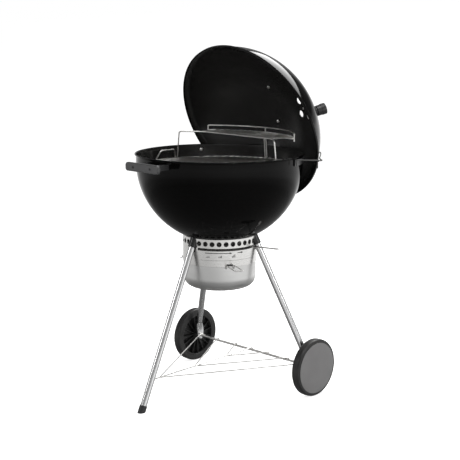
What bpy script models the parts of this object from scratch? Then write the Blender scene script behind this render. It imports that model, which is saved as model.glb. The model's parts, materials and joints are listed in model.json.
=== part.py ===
"""Kettle charcoal grill, 57 cm class, standing open with its lid parked in the rear wire holder.

Frame: metres, +Z up, floor at z = 0. -Y is the front (plain foot and bowl handle), +Y is the rear
(axle, wheels and parked lid). Everything is drawn about the bowl's axis and parented to one empty,
which moves that axis to Y_SHIFT so that the origin is the middle of the footprint.
"""
import math

import bmesh
import bpy
from mathutils import Matrix, Vector

# ---------------------------------------------------------------- driving dimensions (metres)
Y_SHIFT = -0.0099           # bowl axis in the object's frame
GAP = 0.0003                # clearance between pieces that touch
SEGS = 32                   # facets round the bowl and the lid

BOWL_R = 0.2817             # outside of the bowl's wall
BOWL_BELT = 0.7962          # height where the straight wall turns into the round bottom
BOWL_DEPTH = 0.2774         # depth of the round bottom below the belt
BOWL_SKIN = 0.0015
RIM_R = 0.2860              # outside of the rolled rim
RIM_TOP = 0.8240

LID_CENTRE = Vector((0.0, 0.1366, 0.9093))
LID_LEAN = math.radians(-64.95)     # parked lid, turned about X
LID_RIM_R = 0.2948
LID_R, LID_H, LID_DROP, LID_N = 0.2884, 0.2206, 0.0128, 1.783   # superellipse dome
LID_SKIN = 0.0015
DAMPER_AT = (0.0995, 0.0310)         # places on the lid, measured from its own axis
GAUGE_AT = (0.160, 0.028)
HANDLE_BOLTS = ((-0.050, -0.040), (-0.043, 0.092))

RING_R, RING_SKIN = 0.1259, 0.0012
RING_LOW, RING_TOP = 0.4552, 0.5472
HOLE_Z, HOLE_R = 0.5320, 0.0085
SLOT_Z, SLOT_H = 0.5134, 0.0085
GRIP_FRONT, GRIP_BACK, GRIP_Z = -0.3492, -0.3382, 0.8025    # bowl handle's bar
GRIP_W, GRIP_H, GRIP_SCREW = 0.1560, 0.0280, 0.0400
PAN_R, PAN_TOP, PAN_LOW = 0.1238, 0.4780, 0.3655

LEG_R, LEG_BORE = 0.0110, 0.0098
LEG_SPREAD = 0.45           # outward run for each metre of drop
LEG_REF_R, LEG_REF_Z = 0.1327, 0.5150
SOCKET_R = 0.0140

WHEEL_R, WHEEL_X, WHEEL_Y = 0.0986, 0.2914, 0.1599
AXLE_R, AXLE_BORE = 0.0040, 0.0043

GRATE_R, GRATE_Z = 0.2720, 0.7785
COAL_R, COAL_Z = 0.2210, 0.6400
RACK_Z, RACK_TURN = 0.8770, math.radians(-3.8)

LEVER_AZ = 105.5            # azimuths run from the front (-Y) towards +X

SLOTS = {                   # slot: colour, roughness, metallic
    "enamel": ((0.010, 0.010, 0.011), 0.12, 0.0),
    "black_metal": ((0.015, 0.015, 0.016), 0.40, 0.0),
    "plastic": ((0.020, 0.020, 0.022), 0.45, 0.0),
    "steel": ((0.62, 0.61, 0.59), 0.30, 1.0),
    "pan_aluminium": ((0.70, 0.70, 0.69), 0.42, 1.0),
    "leg_aluminium": ((0.80, 0.80, 0.80), 0.25, 1.0),
    "wire": ((0.72, 0.71, 0.69), 0.22, 1.0),
    "iron": ((0.20, 0.19, 0.18), 0.55, 1.0),
    "tyre": ((0.018, 0.018, 0.018), 0.70, 0.0),
    "wheel": ((0.020, 0.020, 0.021), 0.50, 0.0),
    "hubcap": ((0.110, 0.110, 0.115), 0.42, 0.0),
}


# ---------------------------------------------------------------- scene helpers
def clear_scene():
    for obj in list(bpy.data.objects):
        bpy.data.objects.remove(obj, do_unlink=True)


def material(slot):
    mat = bpy.data.materials.get(slot)
    if mat is None:
        mat = bpy.data.materials.new(slot)
        mat.use_nodes = True
        shader = mat.node_tree.nodes["Principled BSDF"]
        colour, rough, metal = SLOTS[slot]
        shader.inputs["Base Color"].default_value = (*colour, 1.0)
        shader.inputs["Roughness"].default_value = rough
        shader.inputs["Metallic"].default_value = metal
        mat.diffuse_color = (*colour, 1.0)
    return mat


def empty(name, location=(0, 0, 0), rotation=(0, 0, 0), parent=None):
    obj = bpy.data.objects.new(name, None)
    bpy.context.collection.objects.link(obj)
    obj.location, obj.rotation_euler, obj.parent = location, rotation, parent
    return obj


def place(name, bm, slot, parent, location=(0, 0, 0), rotation=(0, 0, 0)):
    """Turn a bmesh into a named object with its material, shaded smooth between flat ends."""
    bmesh.ops.remove_doubles(bm, verts=bm.verts, dist=1e-6)
    bmesh.ops.recalc_face_normals(bm, faces=bm.faces)
    mesh = bpy.data.meshes.new(name)
    bm.to_mesh(mesh)
    bm.free()
    mesh.shade_smooth()
    mesh.set_sharp_from_angle(angle=math.radians(35))
    obj = bpy.data.objects.new(name, mesh)
    bpy.context.collection.objects.link(obj)
    obj.location, obj.rotation_euler, obj.parent = location, rotation, parent
    if slot:
        mesh.materials.append(material(slot))
    return obj


def guide(name, bm, parent, location=(0, 0, 0), rotation=(0, 0, 0)):
    """A cutter or a welded-on group: it shapes another object and isn't a piece itself."""
    obj = place(name, bm, None, parent, location, rotation)
    obj.hide_render = True
    obj.display_type = "WIRE"
    return obj


def combine(obj, other, operation, self_cross=False):
    mod = obj.modifiers.new(other.name, "BOOLEAN")
    mod.operation, mod.solver, mod.object = operation, "EXACT", other
    mod.use_self = self_cross
    return obj


# ---------------------------------------------------------------- shapes
def lathe(profile, segs=SEGS, bm=None, matrix=Matrix()):
    """Turn a profile of (radius, height) about Z. A point at radius 0 becomes a pole; a profile
    with no pole is closed back to its first point."""
    bm = bm or bmesh.new()
    rings = []
    for r, z in profile:
        if r < 1e-9:
            rings.append([bm.verts.new(matrix @ Vector((0, 0, z)))])
        else:
            turn = [2 * math.pi * k / segs for k in range(segs)]
            rings.append([bm.verts.new(matrix @ Vector((r * math.cos(t), r * math.sin(t), z)))
                          for t in turn])
    pairs = list(zip(rings, rings[1:]))
    if profile[0][0] > 1e-9:
        pairs.append((rings[-1], rings[0]))
    for a, b in pairs:
        for k in range(segs):
            n = (k + 1) % segs
            corners = [a[k % len(a)], a[n % len(a)], b[n % len(b)], b[k % len(b)]]
            face = list(dict.fromkeys(corners))
            if len(face) > 2:
                bm.faces.new(face)
    return bm


def sweep(path, section, bm=None, closed=False):
    """Carry a section of (side, up) offsets along a path of points. 'up' keeps to the path's
    first frame, carried along without twisting; both ends of an open path are capped."""
    bm = bm or bmesh.new()
    pts = [Vector(p) for p in path]
    count = len(pts)

    def tangent(k):
        if closed:
            return (pts[(k + 1) % count] - pts[k - 1]).normalized()
        a, b = max(k - 1, 0), min(k + 1, count - 1)
        return (pts[b] - pts[a]).normalized()

    t0 = tangent(0)
    up = Vector((0, 0, 1)) if abs(t0.z) < 0.9 else Vector((0, 1, 0))
    up = (up - t0 * up.dot(t0)).normalized()
    rings = []
    for k in range(count):
        t = tangent(k)
        up = (up - t * up.dot(t)).normalized()
        side = t.cross(up)
        stretch = 1.0
        if (closed or 0 < k < count - 1) and section is not None:
            leg = (pts[(k + 1) % count] - pts[k]).normalized()
            stretch = 1.0 / max(leg.dot(t), 0.75)
        bend = (pts[(k + 1) % count] - pts[k]).normalized() - t if count > 2 else Vector()
        rings.append([bm.verts.new(pts[k] + widen(side * s + up * u, bend, stretch))
                      for s, u in section])
    size = len(section)
    for k in range(count if closed else count - 1):
        a, b = rings[k], rings[(k + 1) % count]
        for i in range(size):
            j = (i + 1) % size
            bm.faces.new([a[i], a[j], b[j], b[i]])
    if not closed:
        bm.faces.new(rings[0])
        bm.faces.new(list(reversed(rings[-1])))
    return bm


def widen(offset, bend, stretch):
    """Mitre: stretch an offset in the plane of the bend, so the wire keeps its thickness."""
    if bend.length < 1e-6 or stretch == 1.0:
        return offset
    b = bend.normalized()
    return offset + b * offset.dot(b) * (stretch - 1.0)


def circle(radius, sides=6, phase=0.5):
    step = 2 * math.pi / sides
    return [(radius * math.cos(step * (k + phase)), radius * math.sin(step * (k + phase)))
            for k in range(sides)]


def rounded(width, height, corner, steps=2):
    """Section of a bar with rounded corners."""
    out = []
    for cx, cy, start in ((1, 1, 0), (-1, 1, 90), (-1, -1, 180), (1, -1, 270)):
        for k in range(steps + 1):
            a = math.radians(start + 90 * k / steps)
            out.append((cx * (width / 2 - corner) + corner * math.cos(a),
                        cy * (height / 2 - corner) + corner * math.sin(a)))
    return out


def rod(a, b, radius, sides=6, bm=None):
    return sweep([a, b], circle(radius, sides), bm)


def block(low, high, bm=None, matrix=Matrix()):
    bm = bm or bmesh.new()
    size = Vector(high) - Vector(low)
    mid = (Vector(high) + Vector(low)) / 2
    bmesh.ops.create_cube(bm, size=1.0, matrix=matrix @ Matrix.Translation(mid)
                          @ Matrix.Diagonal((*size, 1.0)))
    return bm


def polar(radius, azimuth, z):
    """A point by its azimuth in degrees from the front towards +X."""
    a = math.radians(azimuth)
    return Vector((radius * math.sin(a), -radius * math.cos(a), z))


def arc(radius, start, end, z, count):
    return [polar(radius, start + (end - start) * k / count, z) for k in range(count + 1)]


def bent(points, radius, steps=2):
    """Round the corners of a polyline, as wire is bent."""
    pts = [Vector(p) for p in points]
    out = [pts[0]]
    for a, b, c in zip(pts, pts[1:], pts[2:]):
        back, fwd = (a - b), (c - b)
        cut = min(radius, back.length * 0.45, fwd.length * 0.45)
        p, q = b + back.normalized() * cut, b + fwd.normalized() * cut
        for k in range(steps + 1):
            t = k / steps
            out.append(p * (1 - t) ** 2 + b * 2 * t * (1 - t) + q * t ** 2)
    out.append(pts[-1])
    return out


# ---------------------------------------------------------------- bowl
BOWL_STEPS = (1.8, 8, 15, 23, 33, 46, 60, 72, 82, 90)


def bowl_curve(grow):
    """The bowl's round bottom as (radius, height), grown outwards by 'grow'."""
    return [((BOWL_R + grow) * math.sin(math.radians(a)),
             BOWL_BELT - (BOWL_DEPTH + grow) * math.cos(math.radians(a))) for a in BOWL_STEPS]


def bowl_height(radius, grow):
    return BOWL_BELT - (BOWL_DEPTH + grow) * math.sqrt(1 - (radius / (BOWL_R + grow)) ** 2)


def bowl_solid(grow, top, parent, name):
    """A plug with the bowl's outside shape, used to trim pieces that end on the bowl."""
    curve = bowl_curve(grow)
    profile = [(0, curve[0][1])] + curve + [(BOWL_R + grow, top), (0, top)]
    return guide(name, lathe(profile), parent)


def build_bowl(grill):
    inner = BOWL_R - BOWL_SKIN
    profile = bowl_curve(0)
    profile += [(BOWL_R, 0.8172), (RIM_R, 0.8200), (RIM_R - 0.0012, RIM_TOP - 0.0004),
                (RIM_R - 0.0034, RIM_TOP), (inner, 0.8222)]
    profile += list(reversed(bowl_curve(-BOWL_SKIN)))
    bowl = place("bowl", lathe(profile), "enamel", grill)
    cuts = bmesh.new()
    for az in (60, 180, 300):                       # three long vents in the bottom
        turn = Matrix.Rotation(math.radians(az - 90), 4, "Z")
        squash = Matrix.Diagonal((1.75, 1.0, 1.0, 1.0))
        move = Matrix.Translation((0.066, 0, 0))
        lathe([(0, 0.50), (0.0185, 0.50), (0.0185, 0.56), (0, 0.56)], 10, cuts,
              turn @ move @ squash)
    for side in (-1, 1):                            # holes for the lid holder's bolts
        az = 180 - side * 58.4
        rod(polar(0.270, az, 0.804), polar(0.295, az, 0.804), 0.0035, 8, cuts)
    return combine(bowl, guide("bowl_cuts", cuts, grill), "DIFFERENCE")


def build_bowl_handle(grill, plug):
    """Flat black bar in front of the bowl on two steel brackets, with a screw through each."""
    bm = bmesh.new()
    rings = []
    for y, inset in ((GRIP_FRONT, 0.0025), (GRIP_FRONT + 0.0025, 0.0), (GRIP_BACK - 0.0015, 0.0),
                     (GRIP_BACK, 0.0015)):
        section = rounded(GRIP_W - 2 * inset, GRIP_H - 2 * inset, 0.0100 - inset, 3)
        rings.append([bm.verts.new((x, y, GRIP_Z + z)) for x, z in section])
    size = len(rings[0])
    for a, b in zip(rings, rings[1:]):
        for k in range(size):
            n = (k + 1) % size
            bm.faces.new([a[k], a[n], b[n], b[k]])
    bm.faces.new(rings[0])
    bm.faces.new(rings[-1])
    handle = place("bowl_handle", bm, "plastic", grill)
    bores = bmesh.new()
    for x in (-GRIP_SCREW, GRIP_SCREW):
        rod((x, GRIP_FRONT - 0.010, GRIP_Z), (x, GRIP_FRONT + 0.0028, GRIP_Z), 0.0042, 8, bores)
    combine(handle, guide("handle_bores", bores, grill), "DIFFERENCE")
    for x, name in ((-GRIP_SCREW, "left"), (GRIP_SCREW, "right")):
        place("handle_screw_" + name, rod((0, -0.0018, 0), (0, 0.0018, 0), 0.0037, 8), "black_metal",
              grill, (x, GRIP_FRONT + 0.0008, GRIP_Z))
        strut = block((x - 0.0110, GRIP_BACK + 0.0003, GRIP_Z - 0.0080),
                      (x + 0.0110, -0.2600, GRIP_Z + 0.0080))
        strut = place("handle_bracket_" + name, strut, "black_metal", grill)
        combine(strut, plug, "DIFFERENCE")


# ---------------------------------------------------------------- lid
def dome_radius(z, grow=0.0):
    s = min((z + LID_DROP) / (LID_H + grow), 1.0)
    return (LID_R + grow) * (1 - s ** LID_N) ** (1 / LID_N)


def dome_curve(grow, count, low=0.016):
    """The dome as (radius, height), from just above the rim to the crown."""
    start = math.acos(((low + LID_DROP) / (LID_H + grow)) ** (LID_N / 2))
    out = []
    for k in range(count + 1):
        a = start * (1 - k / count)
        out.append(((LID_R + grow) * math.sin(a) ** (2 / LID_N),
                    (LID_H + grow) * math.cos(a) ** (2 / LID_N) - LID_DROP))
    out[-1] = (0.0, out[-1][1])
    return out


def dome_frame(x, y, grow=0.0):
    """Frame on the dome above (x, y): origin on its skin, Z along the outward normal."""
    r = math.hypot(x, y)
    rr, hh = LID_R + grow, LID_H + grow
    s = (1 - (r / rr) ** LID_N) ** (1 / LID_N)
    radial, axial = (r / rr) ** (LID_N - 1) / rr, s ** (LID_N - 1) / hh
    normal = Vector((radial * x / r, radial * y / r, axial)).normalized()
    point = Vector((x, y, s * hh - LID_DROP))
    along = Vector((1, 0, 0))
    along = (along - normal * along.dot(normal)).normalized()
    turn = Matrix((along, normal.cross(along), normal)).transposed()
    return Matrix.Translation(point) @ turn.to_4x4()


def build_lid(lid_frame):
    outer = [(LID_RIM_R - 0.0016, 0.0), (LID_RIM_R, 0.0016), (LID_RIM_R, 0.0100),
             (LID_RIM_R - 0.0030, 0.0128)] + dome_curve(0, 9)
    inner = dome_curve(-LID_SKIN, 9)
    lip = [(LID_RIM_R - 0.0046, 0.0116), (LID_RIM_R - 0.0018, 0.0090), (LID_RIM_R - 0.0018, 0.0014)]
    profile = list(reversed(outer)) + list(reversed(lip)) + inner
    profile = list(reversed(profile))
    lid = place("lid_shell", lathe(profile), "enamel", lid_frame)
    cuts = bmesh.new()
    frame = dome_frame(*DAMPER_AT)
    for k in range(4):                              # draught holes under the damper
        turn = Matrix.Rotation(math.radians(45 + 90 * k), 4, "Z") @ Matrix.Translation((0.034, 0, 0))
        lathe([(0, -0.02), (0.0128, -0.02), (0.0128, 0.02), (0, 0.02)], 10, cuts, frame @ turn)
    lathe([(0, -0.02), (0.0035, -0.02), (0.0035, 0.02), (0, 0.02)], 8, cuts, frame)
    lathe([(0, -0.02), (0.0046, -0.02), (0.0046, 0.02), (0, 0.02)], 10, cuts, dome_frame(*GAUGE_AT))
    for spot in HANDLE_BOLTS:
        lathe([(0, -0.02), (0.0035, -0.02), (0.0035, 0.02), (0, 0.02)], 8, cuts, dome_frame(*spot))
    combine(lid, guide("lid_cuts", cuts, lid_frame), "DIFFERENCE")


def build_lid_handle(lid_frame):
    """Black grip on the crown, running between its two bolts."""
    mid = (Vector(HANDLE_BOLTS[0]) + Vector(HANDLE_BOLTS[1])) / 2
    frame = dome_frame(mid.x, mid.y)
    path = [frame @ Vector(p) for p in bent(
        [(0, -0.066, -0.016), (0, -0.066, 0.030), (0, -0.046, 0.048), (0, 0.046, 0.048),
         (0, 0.066, 0.030), (0, 0.066, -0.016)], 0.014, 2)]
    handle = place("lid_handle", sweep(path, rounded(0.024, 0.018, 0.006, 1)), "plastic", lid_frame)
    plug = lathe([(0, -0.02), (LID_R, -0.02)] + dome_curve(GAP, 9))
    combine(handle, guide("dome_plug", plug, lid_frame), "DIFFERENCE")
    for name, spot in zip(("lid_bolt_upper", "lid_bolt_lower"), HANDLE_BOLTS):
        seat = -LID_SKIN - 0.0014
        bolt = lathe([(0, seat - 0.0042), (0.0042, seat - 0.0040), (0.0068, seat - 0.0018),
                      (0.0068, seat), (0.0030, seat), (0.0030, -0.0013), (0, -0.0013)], 10)
        frame = dome_frame(*spot)
        place(name, bolt, "steel", lid_frame, frame.to_translation(), frame.to_euler())


def build_damper(lid_frame):
    """Dished disc over the lid's four holes, riveted through the middle so that it can turn."""
    dish = 0.42                                     # radius of its curve, a little flatter than the lid

    def under(r):
        return 0.0009 - r * r / (2 * dish)

    thick = 0.0012
    profile = [(0, -0.0052), (0.0050, -0.0050), (0.0050, -0.0032), (0.0030, -0.0032),
               (0.0030, under(0.003))]
    rise = (0.026, 0.052)
    profile += [(r, under(r)) for r in rise]
    profile += [(r, under(r) + thick) for r in reversed(rise)]
    profile += [(0.0068, under(0.0068) + thick), (0.0060, 0.0036), (0, 0.0046)]
    frame = dome_frame(*DAMPER_AT)
    disc = place("lid_damper", lathe(profile, 18), "pan_aluminium", lid_frame,
                 frame.to_translation(), frame.to_euler())
    cuts = bmesh.new()
    for k in range(4):
        turn = Matrix.Rotation(math.radians(45 + 90 * k), 4, "Z") @ Matrix.Translation((0.034, 0, 0))
        lathe([(0, -0.02), (0.0122, -0.02), (0.0122, 0.02), (0, 0.02)], 10, cuts, turn)
    combine(disc, guide("damper_cuts", cuts, lid_frame, frame.to_translation(), frame.to_euler()),
            "DIFFERENCE")
    tab = block((0.0030, -0.0075, 0.0), (0.0042, 0.0075, 0.0160))
    tab = guide("damper_tab", tab, lid_frame)
    tab.matrix_local = (frame @ Matrix.Rotation(math.radians(-90), 4, "Z")
                        @ Matrix.Translation((0.0440, 0, -0.0016)))
    combine(disc, tab, "UNION")


def build_gauge(lid_frame):
    """Round dial with its stem through the lid."""
    profile = [(0, -0.0130), (0.0030, -0.0120), (0.0030, -0.0050), (0.0040, -0.0045), (0.0040, 0.0006),
               (0.0140, 0.0006), (0.0140, 0.0155), (0.0183, 0.0160), (0.0183, 0.0310),
               (0.0197, 0.0320), (0.0197, 0.0478), (0.0165, 0.0478), (0.0160, 0.0462),
               (0, 0.0462)]
    frame = dome_frame(*GAUGE_AT)
    place("lid_gauge", lathe(profile, 16), "plastic", lid_frame,
          frame.to_translation(), frame.to_euler())


# ---------------------------------------------------------------- vent ring, ash pan, lever
def build_ring(grill):
    profile = [(RING_R, RING_TOP), (RING_R, RING_LOW), (RING_R - RING_SKIN, RING_LOW),
               (RING_R - RING_SKIN, RING_TOP)]
    ring = place("vent_ring", lathe(profile, 40), "steel", grill)
    cuts = bmesh.new()
    for sector in (60, 180, 300):                   # ten holes between each two legs
        for k in range(10):
            az = sector + 10.7 * (k - 4.5)
            rod(polar(0.118, az, HOLE_Z), polar(0.134, az, HOLE_Z), HOLE_R, 6, cuts)
    low, high = SLOT_Z - SLOT_H / 2, SLOT_Z + SLOT_H / 2
    section = [(0.008, high - SLOT_Z), (-0.008, high - SLOT_Z), (-0.008, low - SLOT_Z),
               (0.008, low - SLOT_Z)]
    sweep(arc(RING_R, 9.5, 110.0, SLOT_Z, 11), section, cuts)
    for az in (0, 120, 240):                        # room for the leg sockets
        rod(leg_point(az, 0.480), leg_point(az, 0.570), SOCKET_R + 0.0008, 12, cuts)
    combine(ring, guide("ring_cuts", cuts, grill), "DIFFERENCE")
    # catch on the ring's far side for the ash pan
    path = bent([polar(RING_R + 0.0022, 314, 0.4700), polar(RING_R + 0.0022, 314, 0.4610),
                 polar(RING_R + 0.0125, 314, 0.4600)], 0.004)
    place("pan_catch", sweep(path, circle(0.0018)), "wire", grill)


PAN_CURVE = ((0.0900, 0.0), (0.1100, 0.0060), (0.1205, 0.0195), (PAN_R, 0.0395))


def build_pan(grill):
    t = 0.0012
    profile = [(0, PAN_LOW)] + [(r, PAN_LOW + dz) for r, dz in PAN_CURVE] + [(PAN_R, PAN_TOP)]
    profile += [(PAN_R - t, PAN_TOP)]
    profile += [(r - t, PAN_LOW + dz + t) for r, dz in reversed(PAN_CURVE)] + [(0, PAN_LOW + t)]
    place("ash_pan", lathe(profile, 32), "pan_aluminium", grill)
    turn = (0, 0, math.radians(60 - 90))            # local +X points out at azimuth 60
    path = [(PAN_R + 0.0024, -0.0135, 0.4515), (0.1315, -0.0135, 0.4515), (0.1345, -0.0135, 0.4625),
            (0.2380, -0.0135, 0.4665), (0.2380, 0.0135, 0.4665), (0.1345, 0.0135, 0.4625),
            (0.1315, 0.0135, 0.4515), (PAN_R + 0.0024, 0.0135, 0.4515)]
    place("pan_handle", sweep(bent(path, 0.006), circle(0.0018)), "wire", grill, rotation=turn)
    place("pan_clip", block((0.1275, -0.0114, 0.4595), (0.1345, 0.0114, 0.4635)), "plastic", grill,
          rotation=turn)


def build_lever(grill):
    """Strap lever under the bowl, the spindle above it and three blades inside the bowl."""
    turn = (0, 0, math.radians(LEVER_AZ - 90))
    half = 0.0070
    outline = []
    for k in range(7):                              # round boss about the axis
        a = math.radians(60 + 240 * k / 6)
        outline.append((0.0120 * math.cos(a), 0.0120 * math.sin(a)))
    outline += [(0.190, -half)]
    for k in range(5):                              # rounded, slightly wider grip
        a = math.radians(-90 + 180 * k / 4)
        outline.append((0.2190 + 0.0085 * math.cos(a), 0.0085 * math.sin(a)))
    outline += [(0.190, half)]
    bm = bmesh.new()
    base = [bm.verts.new((x, y, -0.0010)) for x, y in outline]
    face = bm.faces.new(base)
    out = bmesh.ops.extrude_face_region(bm, geom=[face])
    bmesh.ops.translate(bm, vec=(0, 0, 0.0020),
                        verts=[v for v in out["geom"] if isinstance(v, bmesh.types.BMVert)])
    place("vent_lever", bm, "steel", grill, (0, 0, SLOT_Z), turn)
    floor = BOWL_BELT - BOWL_DEPTH + BOWL_SKIN
    hub = lathe([(0, SLOT_Z + 0.0013), (0.0060, SLOT_Z + 0.0013), (0.0060, floor + 0.0012),
                 (0.0175, floor + 0.0012), (0.0175, floor + 0.0032), (0.0050, floor + 0.0056),
                 (0, floor + 0.0056)], 16)
    place("vent_spindle", hub, "steel", grill)
    stations = (0.0182, 0.035, 0.055, 0.078, 0.096, 0.106)
    widths = (0.0085, 0.0165, 0.0215, 0.0225, 0.0185, 0.0090)
    for k in range(3):
        bm = bmesh.new()
        rows = {}
        for layer, lift in ((0, 0.0010), (1, 0.0022)):
            for i, (x, w) in enumerate(zip(stations, widths)):
                for j, f in enumerate((-1, -0.4, 0.4, 1)):
                    y = f * w
                    z = bowl_height(math.hypot(x, y), -BOWL_SKIN) + lift
                    rows[layer, i, j] = bm.verts.new((x, y, z))
        last = len(stations) - 1
        for i in range(last):
            for j in range(3):
                for layer in (0, 1):
                    bm.faces.new([rows[layer, i, j], rows[layer, i + 1, j],
                                  rows[layer, i + 1, j + 1], rows[layer, i, j + 1]])
            for j in (0, 3):
                bm.faces.new([rows[0, i, j], rows[0, i + 1, j], rows[1, i + 1, j], rows[1, i, j]])
        for i in (0, last):
            for j in range(3):
                bm.faces.new([rows[0, i, j], rows[0, i, j + 1], rows[1, i, j + 1], rows[1, i, j]])
        place("vent_blade_%d" % (k + 1), bm, "steel", grill,
              rotation=(0, 0, math.radians(120 * k - 90)))


# ---------------------------------------------------------------- legs, axle, wheels
def leg_point(azimuth, z):
    return polar(LEG_REF_R + (LEG_REF_Z - z) * LEG_SPREAD, azimuth, z)


def pipe(a, b, outer, inner, sides=12, bm=None):
    """A tube between two points, open at both ends."""
    a, b = Vector(a), Vector(b)
    frame = Matrix.Translation(a) @ (b - a).to_track_quat("Z", "Y").to_matrix().to_4x4()
    length = (b - a).length
    return lathe([(outer, 0), (outer, length), (inner, length), (inner, 0)], sides, bm, frame)


def build_legs(grill, plug):
    names = {0: "front", 120: "right", 240: "left"}
    for az, side in names.items():
        foot = 0.0088 if az == 0 else 0.1580
        leg = place("leg_" + side, pipe(leg_point(az, foot), leg_point(az, 0.5600), LEG_R, LEG_BORE),
                    "leg_aluminium", grill)
        combine(leg, plug, "DIFFERENCE")
        sock = place("leg_socket_" + side,
                     pipe(leg_point(az, 0.5170), leg_point(az, 0.5620), SOCKET_R, LEG_R + 0.0008),
                     "black_metal", grill)
        combine(sock, plug, "DIFFERENCE")
    cap = place("foot_cap", rod(leg_point(0, -0.015), leg_point(0, 0.0215), 0.0130, 12), "plastic",
                grill)
    cuts = rod(leg_point(0, 0.0084), leg_point(0, 0.0400), LEG_R + 0.0007, 12)
    block((-0.05, -0.45, -0.05), (0.05, -0.30, 0.0), cuts)
    combine(cap, guide("cap_cuts", cuts, grill), "DIFFERENCE")


def build_brackets(grill):
    """Shoe on the end of each side leg: round where it plugs into the tube, then pressed flat and
    turned upright to carry the axle."""
    shape = (                                       # x, y, z, half width, half thickness
        (0.2583, 0.1508, 0.1490, 0.0132, 0.0088), (0.2605, 0.1545, 0.1380, 0.0158, 0.0062),
        (0.2618, 0.1580, 0.1240, 0.0162, 0.0048), (0.2620, 0.1599, 0.1080, 0.0148, 0.0045),
        (0.2620, 0.1599, 0.0960, 0.0130, 0.0045), (0.2620, 0.1599, 0.0890, 0.0095, 0.0045),
        (0.2620, 0.1599, 0.0862, 0.0045, 0.0045))
    for side, az in ((1, 120), (-1, 240)):
        name = "right" if side > 0 else "left"
        top = leg_point(az, 0.1577)
        down = (leg_point(az, 0.15) - leg_point(az, 0.16)).normalized()
        out = Vector((side, 0, 0))
        out = (out - down * out.dot(down)).normalized()
        wide = down.cross(out)
        bm = bmesh.new()
        turns = [math.radians(30 * k + 15) for k in range(12)]
        rings = [[bm.verts.new(top + wide * 0.0110 * math.cos(t) + out * 0.0110 * math.sin(t))
                  for t in turns]]
        flip = 1 if wide.y > 0 else -1
        for x, y, z, half, thin in shape:
            rings.append([bm.verts.new((side * (x + thin * math.sin(t)),
                                        y + flip * half * math.cos(t), z)) for t in turns])
        for a, b in zip(rings, rings[1:]):
            for k in range(12):
                bm.faces.new([a[k], a[(k + 1) % 12], b[(k + 1) % 12], b[k]])
        bm.faces.new(rings[0])
        bm.faces.new(rings[-1])
        shoe = place("axle_bracket_" + name, bm, "leg_aluminium", grill)
        spigot = rod(leg_point(az, 0.1520), leg_point(az, 0.1760), 0.0092, 12)
        combine(shoe, guide("spigot_" + name, spigot, grill), "UNION")
        hole = rod((side * 0.250, WHEEL_Y, WHEEL_R), (side * 0.272, WHEEL_Y, WHEEL_R), AXLE_BORE, 12)
        combine(shoe, guide("axle_hole_" + name, hole, grill), "DIFFERENCE")
    place("axle", rod((-0.3000, 0, 0), (0.3000, 0, 0), AXLE_R, 12), "steel", grill,
          (0, WHEEL_Y, WHEEL_R))


def build_wheels(grill):
    """Local Z is the wheel's outward axle direction, with the origin in the wheel's middle."""
    for side in (-1, 1):
        name = "right" if side > 0 else "left"
        at = (side * WHEEL_X, WHEEL_Y, WHEEL_R)
        turn = (0, math.radians(90 * side), 0)
        tyre = lathe([(0.0786, -0.0154), (0.0930, -0.0154), (WHEEL_R, -0.0090),
                      (WHEEL_R, 0.0080), (0.0930, 0.0142), (0.0786, 0.0142)], 32)
        place("tyre_" + name, tyre, "tyre", grill, at, turn)
        core = lathe([(AXLE_BORE, -0.0215), (0.0150, -0.0215), (0.0165, 0.0010), (0.0720, 0.0030),
                      (0.0735, -0.0150), (0.0780, -0.0150), (0.0780, 0.0140), (0.0735, 0.0140),
                      (0.0720, 0.0060), (0.0150, 0.0055), (AXLE_BORE, 0.0055)], 20)
        core = place("wheel_" + name, core, "wheel", grill, at, turn)
        ribs = bmesh.new()
        for k in range(15):
            block((0.0155, -0.0007, -0.0120), (0.0745, 0.0007, 0.0035), ribs,
                  Matrix.Rotation(math.radians(24 * k + 9), 4, "Z"))
        combine(core, guide("ribs_" + name, ribs, grill, at, turn), "UNION")
        cap = lathe([(0, 0.0146), (0.0873, 0.0146), (0.0862, 0.0164), (0.0560, 0.0176),
                     (0, 0.0180)], 32)
        place("hubcap_" + name, cap, "hubcap", grill, at, turn)


def build_brace(grill):
    """Wire triangle between the front leg and the axle, with two inner vees and hooked ends."""
    front, rear = 0.1000, 0.1056
    y0, y1 = -0.2900, WHEEL_Y

    def at(x, y):
        return Vector((x, y, front + (rear - front) * (y - y0) / (y1 - y0)))

    def hooked(x):
        return [(x, y1 + 0.0052, rear - 0.0006), (x, y1 + 0.0074, rear - 0.0060)]

    wire = circle(0.0020)
    spine = place("leg_brace", sweep([at(0, -0.3052), at(0, y1)] + hooked(0), wire), "wire", grill)
    others = bmesh.new()
    for side in (-1, 1):
        runs = (((-0.2830), (0.2500, 0.1440)), ((-0.1222), (0.1721, y1)), ((0.0324), (0.0782, y1)))
        for apex, (x, y) in runs:
            path = [at(0, apex), at(side * x, y)]
            if y < y1:
                path.append(at(side * (x + 0.0015), y1))
            sweep(path + hooked(side * (x + (0.0015 if y < y1 else 0))), wire, others)
    combine(spine, guide("brace_wires", others, grill), "UNION", True)


# ---------------------------------------------------------------- lid holder
HOOP = (                    # half of the hoop: degrees from the back, radius, height
    (0, 0.3540, 0.8200), (12, 0.3534, 0.8200), (24, 0.3510, 0.8200), (34, 0.3473, 0.8200),
    (43, 0.3425, 0.8200), (50, 0.3395, 0.8190), (56, 0.3385, 0.8155), (60, 0.3415, 0.8130),
    (63, 0.3495, 0.8120), (65.5, 0.3560, 0.8117), (67.6, 0.3545, 0.8122), (69.0, 0.3450, 0.8133),
    (74, 0.2935, 0.8145), (74.6, 0.2885, 0.8110), (74.6, 0.2885, 0.7960))


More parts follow.
